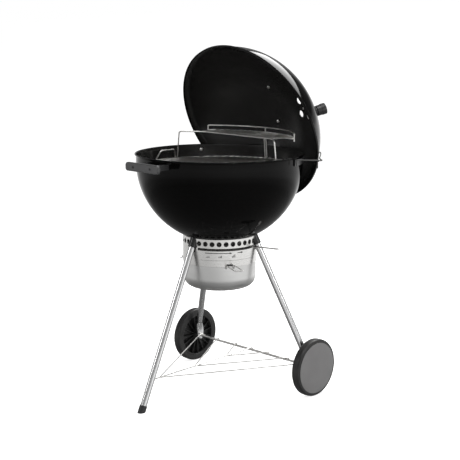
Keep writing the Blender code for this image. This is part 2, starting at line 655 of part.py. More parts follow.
def build_holder(grill):
    """Wire hoop round the back of the bowl that carries the parked lid."""
    right = [polar(r, 180 - a, z) for a, r, z in HOOP]
    left = [polar(r, 180 + a, z) for a, r, z in HOOP[1:]]
    hoop = place("lid_holder", sweep(list(reversed(left)) + right, circle(0.0023)), "wire", grill)
    hooks = bmesh.new()
    for side in (-1, 1):
        az = 180 - side * 68.6
        sweep(bent([polar(0.3510, 180 - side * 68.2, 0.8124), polar(0.3470, az, 0.8085),
                    polar(0.3470, az, 0.7870)], 0.003, 1), circle(0.0021), hooks)
    combine(hoop, guide("holder_hooks", hooks, grill), "UNION", True)
    for side, name in ((1, "right"), (-1, "left")):
        path = arc(BOWL_R + 0.0017, 180 - side * 54, 180 - side * 76, 0.8050, 4)
        strap = place("holder_bracket_" + name,
                      sweep(path, [(0.0012, 0.0105), (-0.0012, 0.0105), (-0.0012, -0.0105),
                                   (0.0012, -0.0105)]), "black_metal", grill)
        az = 180 - side * 58.4
        hole = rod(polar(0.275, az, 0.804), polar(0.300, az, 0.804), 0.0035, 8)
        combine(strap, guide("strap_hole_" + name, hole, grill), "DIFFERENCE")
        seat = BOWL_R - BOWL_SKIN - 0.0014
        bolt = lathe([(0, 0), (0.0045, 0.0006), (0.0072, 0.0030), (0.0072, 0.0042), (0.0030, 0.0042),
                      (0.0030, 0.0100), (0, 0.0100)], 12)
        frame = (Matrix.Translation(polar(seat - 0.0042, az, 0.804))
                 @ polar(1, az, 0).to_track_quat("Z", "Y").to_matrix().to_4x4())
        place("holder_bolt_" + name, bolt, "steel", grill, frame.to_translation(), frame.to_euler())


# ---------------------------------------------------------------- grates and warming rack
def build_cooking_grate(grill):
    sides = 6
    rim = place("cooking_grate", sweep(arc(GRATE_R, 0, 360 - 9, 0, 39), circle(0.0030, sides),
                                       closed=True), "wire", grill, (0, 0, GRATE_Z))
    rods = bmesh.new()
    for k in range(-12, 13):
        x = 0.0208 * k
        y = math.sqrt(GRATE_R ** 2 - x ** 2) - 0.0004
        rod((x, -y, 0.0003), (x, y, 0.0003), 0.0022, 4, rods)
    for y in (-0.128, 0.128):
        x = math.sqrt(GRATE_R ** 2 - y ** 2) + 0.0002
        rod((-x, y, -0.0031), (x, y, -0.0031), 0.0026, 4, rods)
    for s in (-1, 1):                               # finger loops at both sides
        path = bent([(s * 0.2687, -0.0455, -0.0006), (s * 0.2684, -0.0450, 0.0060),
                     (s * 0.2580, -0.0330, 0.0330), (s * 0.2580, 0.0330, 0.0330),
                     (s * 0.2684, 0.0450, 0.0060), (s * 0.2687, 0.0455, -0.0006)], 0.007)
        sweep(path, circle(0.0026, 6), rods)
    combine(rim, guide("grate_rods", rods, grill, (0, 0, GRATE_Z)), "UNION", True)
    for k, az in enumerate((45, 135, 225, 315)):    # steps on the bowl's wall under the grate
        turn = (0, 0, math.radians(az - 90))
        step = block((0.2600, -0.0090, -0.0057), (0.2755, 0.0090, -0.0036))
        place("grate_step_%d" % (k + 1), step, "steel", grill, (0, 0, GRATE_Z), turn)


def build_charcoal_grate(grill):
    rim = place("charcoal_grate", sweep(arc(COAL_R, 0, 360 - 11.25, 0, 31), circle(0.0030, 6),
                                        closed=True), "iron", grill, (0, 0, COAL_Z))
    rods = bmesh.new()
    for k in range(-5, 6):
        x = 0.0380 * k
        y = math.sqrt(COAL_R ** 2 - x ** 2) - 0.0005
        rod((x, -y, 0.0004), (x, y, 0.0004), 0.0028, 4, rods)
    for y in (-0.090, 0.090):
        x = math.sqrt(COAL_R ** 2 - y ** 2)
        rod((-x, y, -0.0036), (x, y, -0.0036), 0.0028, 4, rods)
    combine(rim, guide("coal_rods", rods, grill, (0, 0, COAL_Z)), "UNION", True)


RACK_BACK, RACK_CENTRE = 0.3111, -0.0861    # curved rear wire: radius, and its centre's y
RACK_CHORD, RACK_FRONT = 0.1310, 0.0800
LEG_X, FOOT_X = -0.0120, -0.0080    # rear leg: its head and its foot, left of the middle


def rack_arc(half, z, count):
    out = []
    for k in range(count + 1):
        a = math.radians(-half + 2 * half * k / count)
        out.append(Vector((RACK_BACK * math.sin(a), RACK_CENTRE + RACK_BACK * math.cos(a), z)))
    return out


def build_rack(grill):
    """Half-moon warming rack on three legs, with a low raised rail round its back."""
    tip = math.degrees(math.acos((RACK_CHORD - RACK_CENTRE) / RACK_BACK))
    outline = rack_arc(tip - 3, 0, 12)
    corner = Vector((RACK_BACK * math.sin(math.radians(tip)), RACK_CHORD, 0))
    for mirror in (1, -1):                          # rounded tips, joined by the straight chord
        flip = Vector((mirror, 1, 1))
        ends = [outline[12], corner, corner - Vector((0.030, 0, 0))]
        turn_in = [ends[0] * (1 - t) ** 2 + ends[1] * 2 * t * (1 - t) + ends[2] * t ** 2
                   for t in (0.25, 0.5, 0.75, 1.0)]
        outline += [p * flip for p in (turn_in if mirror > 0 else reversed(turn_in))]
    turn = (0, 0, RACK_TURN)
    at = (0, 0, RACK_Z)
    frame = place("warming_rack", sweep(outline, circle(0.0024), closed=True), "wire",
                  grill, at, turn)
    rest = GRATE_Z + 0.0059 - RACK_Z                # underside of the feet, on the grate's rods
    rods = bmesh.new()
    for k in range(-9, 10):
        x = 0.0205 * k
        y = RACK_CENTRE + math.sqrt(RACK_BACK ** 2 - x ** 2) - 0.0006
        rod((x, RACK_FRONT - 0.0008, 0.0012), (x, y, 0.0008), 0.0017, 4, rods)
    leg = circle(0.0024)
    path = [(-0.2525, 0.0220, rest), (-0.2415, 0.0220, -0.0050), (-0.2365, 0.0250, 0.0),
            (-0.1850, RACK_FRONT - 0.0080, 0.0), (-0.1600, RACK_FRONT, 0.0),
            (0.1600, RACK_FRONT, 0.0), (0.1850, RACK_FRONT - 0.0080, 0.0),
            (0.2365, 0.0250, 0.0), (0.2415, 0.0220, -0.0050), (0.2525, 0.0220, rest)]
    sweep(path, leg, rods)
    for s in (-1, 1):                               # stays between the leg wire and the chord
        rod((s * 0.1700, RACK_FRONT - 0.0040, 0.0006), (s * 0.1850, RACK_CHORD, 0.0006), 0.0018, 5,
            rods)
    back = RACK_CENTRE + RACK_BACK
    for dx in (-0.0045, 0.0045):                    # rear leg: a tall narrow U of wire
        rod((FOOT_X + dx, back, rest), (LEG_X + dx, back - 0.0030, 0.0006), 0.0024, 6, rods)
    rod((FOOT_X - 0.0055, back, rest + 0.0026), (FOOT_X + 0.0055, back, rest + 0.0026), 0.0022, 6,
        rods)
    rail = rack_arc(tip - 1.5, 0.0165, 10)            # raised rail, with a post at each end
    rail = [rail[0] - Vector((0, 0, 0.0260))] + rail + [rail[-1] - Vector((0, 0, 0.0260))]
    sweep(rail, circle(0.0022), rods)
    rod((LEG_X, back, -0.0010), (LEG_X, back, 0.0160), 0.0022, 6, rods)
    combine(frame, guide("rack_wires", rods, grill, at, turn), "UNION", True)


def main():
    clear_scene()
    grill = empty("grill", (0, Y_SHIFT, 0))
    lid_frame = empty("lid_frame", LID_CENTRE, (LID_LEAN, 0, 0), grill)
    plug = bowl_solid(GAP, RIM_TOP, grill, "bowl_plug")
    build_bowl(grill)
    build_bowl_handle(grill, plug)
    build_lid(lid_frame)
    build_lid_handle(lid_frame)
    build_damper(lid_frame)
    build_gauge(lid_frame)
    build_ring(grill)
    build_pan(grill)
    build_lever(grill)
    build_legs(grill, plug)
    build_brackets(grill)
    build_wheels(grill)
    build_brace(grill)
    build_holder(grill)
    build_cooking_grate(grill)
    build_charcoal_grate(grill)
    build_rack(grill)


main()
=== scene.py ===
"""Looks of the kettle charcoal grill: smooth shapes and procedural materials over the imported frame.

Metres, +Z up, floor at z = 0. Pieces are drawn about the bowl's axis (or in the lid's own frame, or
along a tube's own axis) and placed by a matrix. Azimuths run in degrees from the front (-Y) to +X.
"""
import json
import math

import bmesh
import bpy
from mathutils import Matrix, Vector

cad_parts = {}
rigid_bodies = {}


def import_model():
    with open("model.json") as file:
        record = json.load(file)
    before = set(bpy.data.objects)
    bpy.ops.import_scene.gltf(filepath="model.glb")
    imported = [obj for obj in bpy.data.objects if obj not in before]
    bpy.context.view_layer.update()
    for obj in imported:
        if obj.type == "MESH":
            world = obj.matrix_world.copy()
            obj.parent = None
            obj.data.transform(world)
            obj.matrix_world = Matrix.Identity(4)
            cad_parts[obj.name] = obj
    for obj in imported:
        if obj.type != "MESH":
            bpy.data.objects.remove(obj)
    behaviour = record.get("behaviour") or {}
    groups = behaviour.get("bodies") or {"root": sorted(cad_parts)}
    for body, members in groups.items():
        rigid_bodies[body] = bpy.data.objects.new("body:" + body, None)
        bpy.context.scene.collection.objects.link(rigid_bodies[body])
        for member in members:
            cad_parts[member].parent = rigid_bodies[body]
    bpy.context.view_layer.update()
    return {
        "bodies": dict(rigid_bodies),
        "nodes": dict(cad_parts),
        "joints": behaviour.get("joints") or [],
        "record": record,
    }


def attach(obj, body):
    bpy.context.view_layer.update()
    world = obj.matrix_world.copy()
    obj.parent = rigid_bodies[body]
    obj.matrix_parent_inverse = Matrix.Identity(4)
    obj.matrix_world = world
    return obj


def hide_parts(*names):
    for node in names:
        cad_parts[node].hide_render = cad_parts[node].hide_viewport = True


# ---------------------------------------------------------------- dimensions, as in the CAD
Y_SHIFT = -0.0099
BOWL_R, BOWL_BELT, BOWL_DEPTH, SKIN = 0.2817, 0.7962, 0.2774, 0.0015
RIM_R, RIM_TOP = 0.2860, 0.8240
LID_CENTRE, LID_LEAN = Vector((0.0, 0.1366, 0.9093)), math.radians(-64.95)
LID_RIM_R = 0.2948
LID_R, LID_H, LID_DROP, LID_N = 0.2884, 0.2206, 0.0128, 1.783
DAMPER_AT, GAUGE_AT = (0.0995, 0.0310), (0.160, 0.028)
HANDLE_BOLTS = ((-0.050, -0.040), (-0.043, 0.092))
RING_R, RING_LOW, RING_TOP = 0.1259, 0.4552, 0.5472
HOLE_Z, HOLE_R, SLOT_Z, SLOT_H = 0.5320, 0.0085, 0.5134, 0.0085
GRIP_FRONT, GRIP_BACK, GRIP_Z = -0.3492, -0.3382, 0.8025
GRIP_W, GRIP_H, GRIP_SCREW = 0.1560, 0.0280, 0.0400
LEG_X, FOOT_X = -0.0120, -0.0080                    # the rack's rear leg, head and foot
PAN_R, PAN_TOP, PAN_LOW = 0.1238, 0.4780, 0.3655
LEG_R, SOCKET_R = 0.0110, 0.0140
WHEEL_R, WHEEL_X, WHEEL_Y = 0.0986, 0.2914, 0.1599
GRATE_R, GRATE_Z, COAL_R, COAL_Z = 0.2720, 0.7785, 0.2210, 0.6400
RACK_Z, RACK_TURN = 0.8770, math.radians(-3.8)
RACK_BACK, RACK_CENTRE, RACK_CHORD, RACK_FRONT = 0.3111, -0.0861, 0.1310, 0.0800
LEVER_AZ, CATCH_AZ, PAN_HANDLE_AZ = 105.5, 314, 60
LEGS = ((0, "front"), (120, "right"), (240, "left"))
OPENINGS = (60, 180, 300)                           # vents in the bowl and holes in the ring
HOLDER_BOLT_AZ, HOLDER_BOLT_Z = 58.4, 0.804         # degrees from the back
MARK_LOW, MARK_HIGH = 0.5010, 0.5034                # printed line on the ring
TIP_LOW, TIP_HIGH, BARS_Z = 0.4988, 0.5056, 0.4868

GRILL = Matrix.Translation((0, Y_SHIFT, 0))
LID = GRILL @ Matrix.Translation(LID_CENTRE) @ Matrix.Rotation(LID_LEAN, 4, "X")


# ---------------------------------------------------------------- materials
class Mat:
    """A Principled material with a few node helpers."""

    def __init__(self, name, base, rough, metal=0.0, **sockets):
        self.mat = bpy.data.materials.new(name)
        self.mat.use_nodes = True
        self.nodes, self.links = self.mat.node_tree.nodes, self.mat.node_tree.links
        self.shader = self.nodes["Principled BSDF"]
        self.shader.inputs["Base Color"].default_value = (*base, 1)
        self.shader.inputs["Roughness"].default_value = rough
        self.shader.inputs["Metallic"].default_value = metal
        for socket, value in sockets.items():
            self.shader.inputs[socket.replace("_", " ")].default_value = value
        self.coord = self.nodes.new("ShaderNodeTexCoord").outputs["Object"]
        self.height = None

    def node(self, kind, inputs=(), **props):
        n = self.nodes.new("ShaderNode" + kind)
        for key, value in props.items():
            setattr(n, key, value)
        for key, value in dict(inputs).items():
            if isinstance(value, bpy.types.NodeSocket):
                self.links.new(value, n.inputs[key])
            else:
                n.inputs[key].default_value = value
        return n

    def noise(self, scale, detail=3.0, stretch=(1, 1, 1), distortion=0.0):
        place = self.node("Mapping", {"Vector": self.coord, "Scale": stretch})
        return self.node("TexNoise", {"Vector": place.outputs[0], "Scale": scale, "Detail": detail,
                                      "Distortion": distortion}).outputs["Fac"]

    def spread(self, fac, low, high, start=0.3, end=0.7):
        """Map a 0..1 factor to low..high."""
        return self.node("MapRange", {"Value": fac, "From Min": start, "From Max": end,
                                      "To Min": low, "To Max": high}).outputs[0]

    def rough(self, fac, low, high, start=0.3, end=0.7):
        self.links.new(self.spread(fac, low, high, start, end), self.shader.inputs["Roughness"])
        return self

    def tint(self, fac, low, high, start=0.3, end=0.7):
        ramp = self.node("Mix", {0: self.spread(fac, 0, 1, start, end), 6: (*low, 1),
                                 7: (*high, 1)}, data_type="RGBA")
        self.links.new(ramp.outputs[2], self.shader.inputs["Base Color"])
        return self

    def bump(self, fac, strength, distance=0.001):
        inputs = {"Height": fac, "Strength": strength, "Distance": distance}
        if self.height:
            inputs["Normal"] = self.height
        self.height = self.node("Bump", inputs).outputs[0]
        self.links.new(self.height, self.shader.inputs["Normal"])
        return self


def make_materials():
    m = {}
    a = Mat("enamel", (0.0012, 0.0012, 0.0012), 0.08, Specular_IOR_Level=0.09)
    a.rough(a.noise(9, 4), 0.055, 0.10).tint(a.noise(600, 2), (0.0008, 0.0008, 0.0008),
                                             (0.0020, 0.0019, 0.0018))
    m["enamel"] = a.bump(a.noise(55, 2), 0.02, 0.002).bump(a.noise(420, 2), 0.05, 0.0003)
    a = Mat("enamel_inside", (0.012, 0.012, 0.0115), 0.24, Specular_IOR_Level=0.35)
    a.rough(a.noise(9, 4), 0.22, 0.27).tint(a.noise(500, 2), (0.010, 0.010, 0.0095),
                                            (0.014, 0.0135, 0.013))
    m["enamel_inside"] = a.bump(a.noise(40, 2), 0.02, 0.002).bump(a.noise(500, 2), 0.05, 0.0003)
    a = Mat("black_metal", (0.010, 0.010, 0.0105), 0.34)
    a.rough(a.noise(30, 4), 0.26, 0.42)
    m["black_metal"] = a.bump(a.noise(900, 2), 0.12, 0.0003)
    a = Mat("moulded_plastic", (0.012, 0.012, 0.013), 0.38)
    a.rough(a.noise(40, 4), 0.30, 0.44).tint(a.noise(25, 3), (0.010, 0.010, 0.011),
                                             (0.016, 0.016, 0.017))
    m["plastic"] = a.bump(a.noise(1400, 2), 0.22, 0.0003)
    a = Mat("brushed_steel", (0.60, 0.59, 0.57), 0.28, 1.0)
    a.rough(a.noise(14, 5, (6, 6, 260)), 0.20, 0.36).tint(
        a.noise(10, 4, (5, 5, 220)), (0.62, 0.615, 0.60), (0.76, 0.755, 0.74))
    m["steel"] = a.bump(a.noise(16, 4, (5, 5, 320)), 0.10, 0.0004)
    a = Mat("plain_steel", (0.58, 0.57, 0.555), 0.26, 1.0)
    a.rough(a.noise(120, 4), 0.20, 0.34).tint(a.noise(60, 3), (0.50, 0.49, 0.475),
                                              (0.64, 0.63, 0.61))
    m["plain_steel"] = a.bump(a.noise(800, 2), 0.05, 0.0003)
    a = Mat("satin_aluminium", (0.72, 0.72, 0.71), 0.40, 1.0)
    a.rough(a.noise(18, 5, (1, 1, 12)), 0.34, 0.46).tint(
        a.noise(7, 5), (0.62, 0.62, 0.61), (0.72, 0.72, 0.71))
    m["pan_aluminium"] = a.bump(a.noise(30, 3, (1, 1, 26)), 0.06, 0.0006).bump(
        a.noise(900, 2), 0.08, 0.0002)
    a = Mat("bright_aluminium", (0.80, 0.80, 0.80), 0.24, 1.0)
    a.rough(a.noise(30, 4, (14, 14, 1)), 0.18, 0.30).tint(
        a.noise(20, 4, (14, 14, 1)), (0.66, 0.66, 0.665), (0.74, 0.74, 0.74))
    m["leg_aluminium"] = a.bump(a.noise(60, 2, (16, 16, 1)), 0.012, 0.0003)
    a = Mat("plated_wire", (0.64, 0.63, 0.61), 0.20, 1.0)
    a.rough(a.noise(90, 4), 0.31, 0.39).tint(a.noise(50, 3), (0.64, 0.63, 0.61),
                                             (0.74, 0.73, 0.71))
    m["wire"] = a.bump(a.noise(500, 3), 0.03, 0.0003)
    # Darker copy of the plated wire for the lid holder's hoop: painted shade and painted dark
    # reflection, not the wire's own colour
    a = Mat("plated_wire_painted_shade", (0.10, 0.10, 0.098), 0.34, 0.9)
    m["plated_wire_painted_shade"] = a.rough(a.noise(90, 4), 0.28, 0.42).bump(a.noise(500, 3), 0.04, 0.0003)
    a = Mat("grip_plastic", (0.034, 0.034, 0.035), 0.30)
    a.rough(a.noise(40, 4), 0.28, 0.40).tint(a.noise(25, 3), (0.030, 0.030, 0.031),
                                             (0.038, 0.038, 0.039))
    m["grip"] = a.bump(a.noise(1400, 2), 0.18, 0.0003)
    a = Mat("dark_rod", (0.16, 0.155, 0.15), 0.55, 0.85)
    a.rough(a.noise(60, 5), 0.45, 0.70).tint(a.noise(35, 5), (0.10, 0.09, 0.085),
                                             (0.21, 0.205, 0.20))
    m["iron"] = a.bump(a.noise(300, 4), 0.25, 0.0005)
    a = Mat("tyre", (0.012, 0.012, 0.012), 0.52, Specular_IOR_Level=0.35)
    a.rough(a.noise(30, 5), 0.34, 0.44).tint(a.noise(18, 4), (0.009, 0.009, 0.009),
                                             (0.015, 0.0145, 0.014))
    m["tyre"] = a.bump(a.noise(700, 3), 0.18, 0.0004)
    a = Mat("moulded_wheel", (0.012, 0.012, 0.012), 0.44)
    a.rough(a.noise(40, 4), 0.36, 0.52)
    m["wheel"] = a.bump(a.noise(900, 2), 0.15, 0.0003)
    a = Mat("grey_disc", (0.115, 0.113, 0.113), 0.42)
    a.rough(a.noise(35, 4), 0.36, 0.46).tint(a.noise(14, 4), (0.108, 0.106, 0.106),
                                             (0.122, 0.120, 0.120))
    m["hubcap"] = a.bump(a.noise(1300, 2), 0.16, 0.0003)
    a = Mat("dark_mark", (0.02, 0.02, 0.02), 0.45)
    m["mark"] = a.rough(a.noise(300, 2), 0.40, 0.52)
    a = Mat("dial_face", (0.72, 0.72, 0.70), 0.45)
    m["dial"] = a.rough(a.noise(200, 2), 0.40, 0.50)
    return {name: a.mat for name, a in m.items()}


MATS = {}


# ---------------------------------------------------------------- mesh helpers
def weigh_normals(obj):
    """Large faces keep their own direction, so that a small rounded edge doesn't tilt them."""
    mod = obj.modifiers.new("normals", "WEIGHTED_NORMAL")
    mod.keep_sharp, mod.weight = True, 80


def piece(name, bm, slots, body, replaces=(), matrix=GRILL, sharp=35, bevel=0.0, own=False):
    """Turn a bmesh into a finished piece that rides on a body. own keeps the piece's own axes for
    its brushed grain; otherwise its vertices are written in the object's frame."""
    if not own:
        bm.transform(matrix)
        matrix = Matrix()
    bmesh.ops.remove_doubles(bm, verts=bm.verts, dist=1e-6)
    bmesh.ops.recalc_face_normals(bm, faces=bm.faces)
    mesh = bpy.data.meshes.new(name)
    bm.to_mesh(mesh)
    bm.free()
    obj = bpy.data.objects.new(name, mesh)
    bpy.context.collection.objects.link(obj)
    obj.matrix_world = matrix
    for slot in slots.split():
        mesh.materials.append(MATS[slot])
    mesh.shade_smooth()
    mesh.set_sharp_from_angle(angle=math.radians(sharp))
    if bevel:
        mod = obj.modifiers.new("edge", "BEVEL")
        mod.width, mod.segments, mod.angle_limit = bevel, 3, math.radians(sharp)
    weigh_normals(obj)
    if body:
        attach(obj, body)
    if replaces:
        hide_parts(*replaces.split())
    return obj


def cut(obj, bm, matrix=GRILL, sharp=35):
    """Take a bmesh out of a piece for good, and shade the new edges sharp."""
    tool = piece(obj.name + "_cutter", bm, "", None, matrix=matrix)
    tool.modifiers.clear()
    obj.modifiers.clear()
    mod = obj.modifiers.new("cut", "BOOLEAN")
    mod.operation, mod.solver, mod.object = "DIFFERENCE", "EXACT", tool
    bpy.context.view_layer.update()
    graph = bpy.context.evaluated_depsgraph_get()
    mesh = bpy.data.meshes.new_from_object(obj.evaluated_get(graph), depsgraph=graph)
    obj.modifiers.clear()
    obj.data = mesh
    mesh.shade_smooth()
    mesh.set_sharp_from_angle(angle=math.radians(sharp))
    bpy.data.objects.remove(tool)
    weigh_normals(obj)


def lathe(profile, segs=96, bm=None, matrix=Matrix(), slots=None):
    """Turn a profile of (radius, height) about Z; slots gives a material index per step."""
    bm = bm or bmesh.new()
    rings = []
    for r, z in profile:
        turns = [0] if r < 1e-9 else [2 * math.pi * k / segs for k in range(segs)]
        rings.append([bm.verts.new(matrix @ Vector((r * math.cos(t), r * math.sin(t), z)))
                      for t in turns])
    pairs = list(zip(rings, rings[1:]))
    if profile[0][0] > 1e-9:
        pairs.append((rings[-1], rings[0]))
    for i, (a, b) in enumerate(pairs):
        for k in range(segs):
            n = (k + 1) % segs
            face = list(dict.fromkeys([a[k % len(a)], a[n % len(a)], b[n % len(b)],
                                       b[k % len(b)]]))
            if len(face) > 2:
                face = bm.faces.new(face)
                if slots:
                    face.material_index = slots[min(i, len(slots) - 1)]
    return bm


def sweep(path, section, bm=None, closed=False):
    """Carry a section of (side, up) offsets along a path without twisting it."""
    bm = bm or bmesh.new()
    pts = [Vector(p) for p in path]
    count = len(pts)
    last = count - 1

    def tangent(k):
        if closed:
            return (pts[(k + 1) % count] - pts[k - 1]).normalized()
        return (pts[min(k + 1, last)] - pts[max(k - 1, 0)]).normalized()

    t0 = tangent(0)
    up = Vector((0, 0, 1)) if abs(t0.z) < 0.9 else Vector((0, 1, 0))
    rings = []
    for k in range(count):
        t = tangent(k)
        up = (up - t * up.dot(t)).normalized()
        side = t.cross(up)
        rings.append([bm.verts.new(pts[k] + side * s + up * u) for s, u in section])
    size = len(section)
    for k in range(count if closed else last):
        a, b = rings[k], rings[(k + 1) % count]
        for i in range(size):
            j = (i + 1) % size
            bm.faces.new([a[i], a[j], b[j], b[i]])
    if not closed:
        bm.faces.new(rings[0])
        bm.faces.new(list(reversed(rings[-1])))
    return bm


def circle(radius, sides=12):
    return [(radius * math.cos(2 * math.pi * (k + 0.5) / sides),
             radius * math.sin(2 * math.pi * (k + 0.5) / sides)) for k in range(sides)]


def rounded(width, height, corner, steps=5):
    out = []
    for cx, cy, start in ((1, 1, 0), (-1, 1, 90), (-1, -1, 180), (1, -1, 270)):
        for k in range(steps + 1):
            a = math.radians(start + 90 * k / steps)
            out.append((cx * (width / 2 - corner) + corner * math.cos(a),
                        cy * (height / 2 - corner) + corner * math.sin(a)))
    return out


def wire(path, radius, bm=None, closed=False, sides=12):
    """A round wire with flat ends, or a closed loop."""
    return sweep(path, circle(radius, sides), bm, closed)


def rod(a, b, radius, sides=12, bm=None):
    return sweep([a, b], circle(radius, sides), bm)


def block(low, high, bm=None, matrix=Matrix()):
    bm = bm or bmesh.new()
    size, mid = Vector(high) - Vector(low), (Vector(high) + Vector(low)) / 2
    bmesh.ops.create_cube(bm, size=1.0, matrix=matrix @ Matrix.Translation(mid)
                          @ Matrix.Diagonal((*size, 1.0)))
    return bm


def polar(radius, azimuth, z):
    a = math.radians(azimuth)
    return Vector((radius * math.sin(a), -radius * math.cos(a), z))


def arc(radius, start, end, z, count):
    return [polar(radius, start + (end - start) * k / count, z) for k in range(count + 1)]


def bent(points, radius, steps=6):
    """Round the corners of a polyline, as wire is bent."""
    pts = [Vector(p) for p in points]
    out = [pts[0]]
    for a, b, c in zip(pts, pts[1:], pts[2:]):
        back, fwd = (a - b), (c - b)
        reach = min(radius, back.length * 0.45, fwd.length * 0.45)
        p, q = b + back.normalized() * reach, b + fwd.normalized() * reach
        out += [p * (1 - t) ** 2 + b * 2 * t * (1 - t) + q * t ** 2
                for t in (k / steps for k in range(steps + 1))]
    out.append(pts[-1])
    return out


def smooth(points, steps=5, closed=False):
    """Catmull-Rom curve through points."""
    pts = [Vector(p) for p in points]
    n = len(pts)
    out = []
    for k in range(n if closed else n - 1):
        if closed:
            a, b, c, d = pts[k - 1], pts[k], pts[(k + 1) % n], pts[(k + 2) % n]
        else:
            a, b, c, d = pts[max(k - 1, 0)], pts[k], pts[k + 1], pts[min(k + 2, n - 1)]
        for i in range(steps):
            t = i / steps
            out.append(0.5 * (2 * b + (c - a) * t + (2 * a - 5 * b + 4 * c - d) * t * t
                              + (3 * b - a - 3 * c + d) * t ** 3))
    if not closed:
        out.append(pts[-1])
    return out


def along(a, b):
    """Frame at a with Z towards b."""
    a, b = Vector(a), Vector(b)
    return Matrix.Translation(a) @ (b - a).to_track_quat("Z", "Y").to_matrix().to_4x4()


# ---------------------------------------------------------------- bowl
def bowl_curve(grow, count=40):
    out = []
    for k in range(count + 1):
        a = math.radians(90 * (k / count) ** 0.9)
        out.append(((BOWL_R + grow) * math.sin(a),
                    BOWL_BELT - (BOWL_DEPTH + grow) * math.cos(a)))
    return out


def bead(r, z, size, start, end, count=10):
    return [(r + size * math.cos(math.radians(start + (end - start) * k / count)),
             z + size * math.sin(math.radians(start + (end - start) * k / count)))
            for k in range(count + 1)]


def build_bowl():
    outer = bowl_curve(0)
    roll = 0.0021
    rim = [(BOWL_R, 0.8165), (BOWL_R + 0.0012, 0.8185)]
    rim += bead(RIM_R - roll, RIM_TOP - roll, roll, -70, 170, 14)
    inner = [(BOWL_R - SKIN, 0.8205)] + list(reversed(bowl_curve(-SKIN)))
    profile = outer + rim + inner
    slots = [0] * (len(outer) + len(rim) - 2) + [1] * (len(inner) + 1)
    bowl = piece("bowl_enamel", lathe(profile, 160, slots=slots), "enamel enamel_inside", "stand",
                 "bowl", sharp=50)
    tools = bmesh.new()
    for az in OPENINGS:
        turn = Matrix.Rotation(math.radians(az - 90), 4, "Z")
        lathe([(0, 0.50), (0.0185, 0.50), (0.0185, 0.56), (0, 0.56)], 28, tools,
              turn @ Matrix.Translation((0.066, 0, 0)) @ Matrix.Diagonal((1.75, 1, 1, 1)))
    for side in (-1, 1):
        az = 180 - side * HOLDER_BOLT_AZ
        rod(polar(0.270, az, HOLDER_BOLT_Z), polar(0.295, az, HOLDER_BOLT_Z), 0.0035, 12, tools)
    cut(bowl, tools, sharp=50)


def bowl_plug():
    curve = bowl_curve(0.0003)
    return lathe([(0, curve[0][1])] + curve[1:] + [(BOWL_R, RIM_TOP), (0, RIM_TOP)], 128)


def build_bowl_handle():
    """Flat bar with rounded corners and soft edges, on two brackets, with a screw through each."""
    bm = bmesh.new()
    rings = []
    soft = 0.0030
    levels = [(GRIP_FRONT + soft * (1 - math.cos(a)), soft * (1 - math.sin(a)))
              for a in (math.radians(15 * k) for k in range(7))]
    levels += [(GRIP_BACK - 0.0015, 0.0), (GRIP_BACK - 0.0004, 0.0005), (GRIP_BACK, 0.0015)]
    for y, inset in levels:
        section = rounded(GRIP_W - 2 * inset, GRIP_H - 2 * inset, 0.0100 - inset, 10)
        rings.append([bm.verts.new((x, y, GRIP_Z + z)) for x, z in section])
    size = len(rings[0])
    for a, b in zip(rings, rings[1:]):
        for k in range(size):
            n = (k + 1) % size
            bm.faces.new([a[k], a[n], b[n], b[k]])
    bm.faces.new(rings[0])
    bm.faces.new(rings[-1])
    handle = piece("front_grip", bm, "grip", "stand", "bowl_handle", sharp=60)
    tools = bmesh.new()
    for x in (-GRIP_SCREW, GRIP_SCREW):
        rod((x, GRIP_FRONT - 0.010, GRIP_Z), (x, GRIP_FRONT + 0.0028, GRIP_Z), 0.0042, 24, tools)
    cut(handle, tools, sharp=50)
    for x, name in ((-GRIP_SCREW, "left"), (GRIP_SCREW, "right")):
        head = lathe([(0, 0), (0.0037, 0), (0.0037, 0.0026), (0.0030, 0.0036), (0.0016, 0.0036),
                      (0.0016, 0.0020), (0, 0.0020)], 24)
        at = Vector((x, GRIP_FRONT + 0.0026, GRIP_Z))
        piece("grip_screw_" + name, head, "black_metal", "stand", "handle_screw_" + name,
              GRILL @ along(at, at - Vector((0, 1, 0))))
        strap = piece("grip_bracket_" + name,
                      block((x - 0.0110, GRIP_BACK + 0.0003, GRIP_Z - 0.0080),
                            (x + 0.0110, -0.2600, GRIP_Z + 0.0080)),
                      "black_metal", "stand", "handle_bracket_" + name)
        cut(strap, bowl_plug())


# ---------------------------------------------------------------- lid
def dome_curve(grow, count=44, low=0.016):
    start = math.acos(((low + LID_DROP) / (LID_H + grow)) ** (LID_N / 2))
    out = []
    for k in range(count + 1):
        a = start * (1 - k / count)
        out.append(((LID_R + grow) * math.sin(a) ** (2 / LID_N),
                    (LID_H + grow) * math.cos(a) ** (2 / LID_N) - LID_DROP))
    out[-1] = (0.0, out[-1][1])
    return out


def dome_frame(x, y):
    r = math.hypot(x, y)
    s = (1 - (r / LID_R) ** LID_N) ** (1 / LID_N)
    radial, axial = (r / LID_R) ** (LID_N - 1) / LID_R, s ** (LID_N - 1) / LID_H
    normal = Vector((radial * x / r, radial * y / r, axial)).normalized()
    flat = Vector((1, 0, 0))
    flat = (flat - normal * flat.dot(normal)).normalized()
    turn = Matrix((flat, normal.cross(flat), normal)).transposed()
    return Matrix.Translation((x, y, s * LID_H - LID_DROP)) @ turn.to_4x4()


def damper_hole(k):
    """Place of one of the damper's four holes, in the damper's own frame."""
    spin = Matrix.Rotation(math.radians(45 + 90 * k), 4, "Z")
    return spin @ Matrix.Translation((0.034, 0, 0))


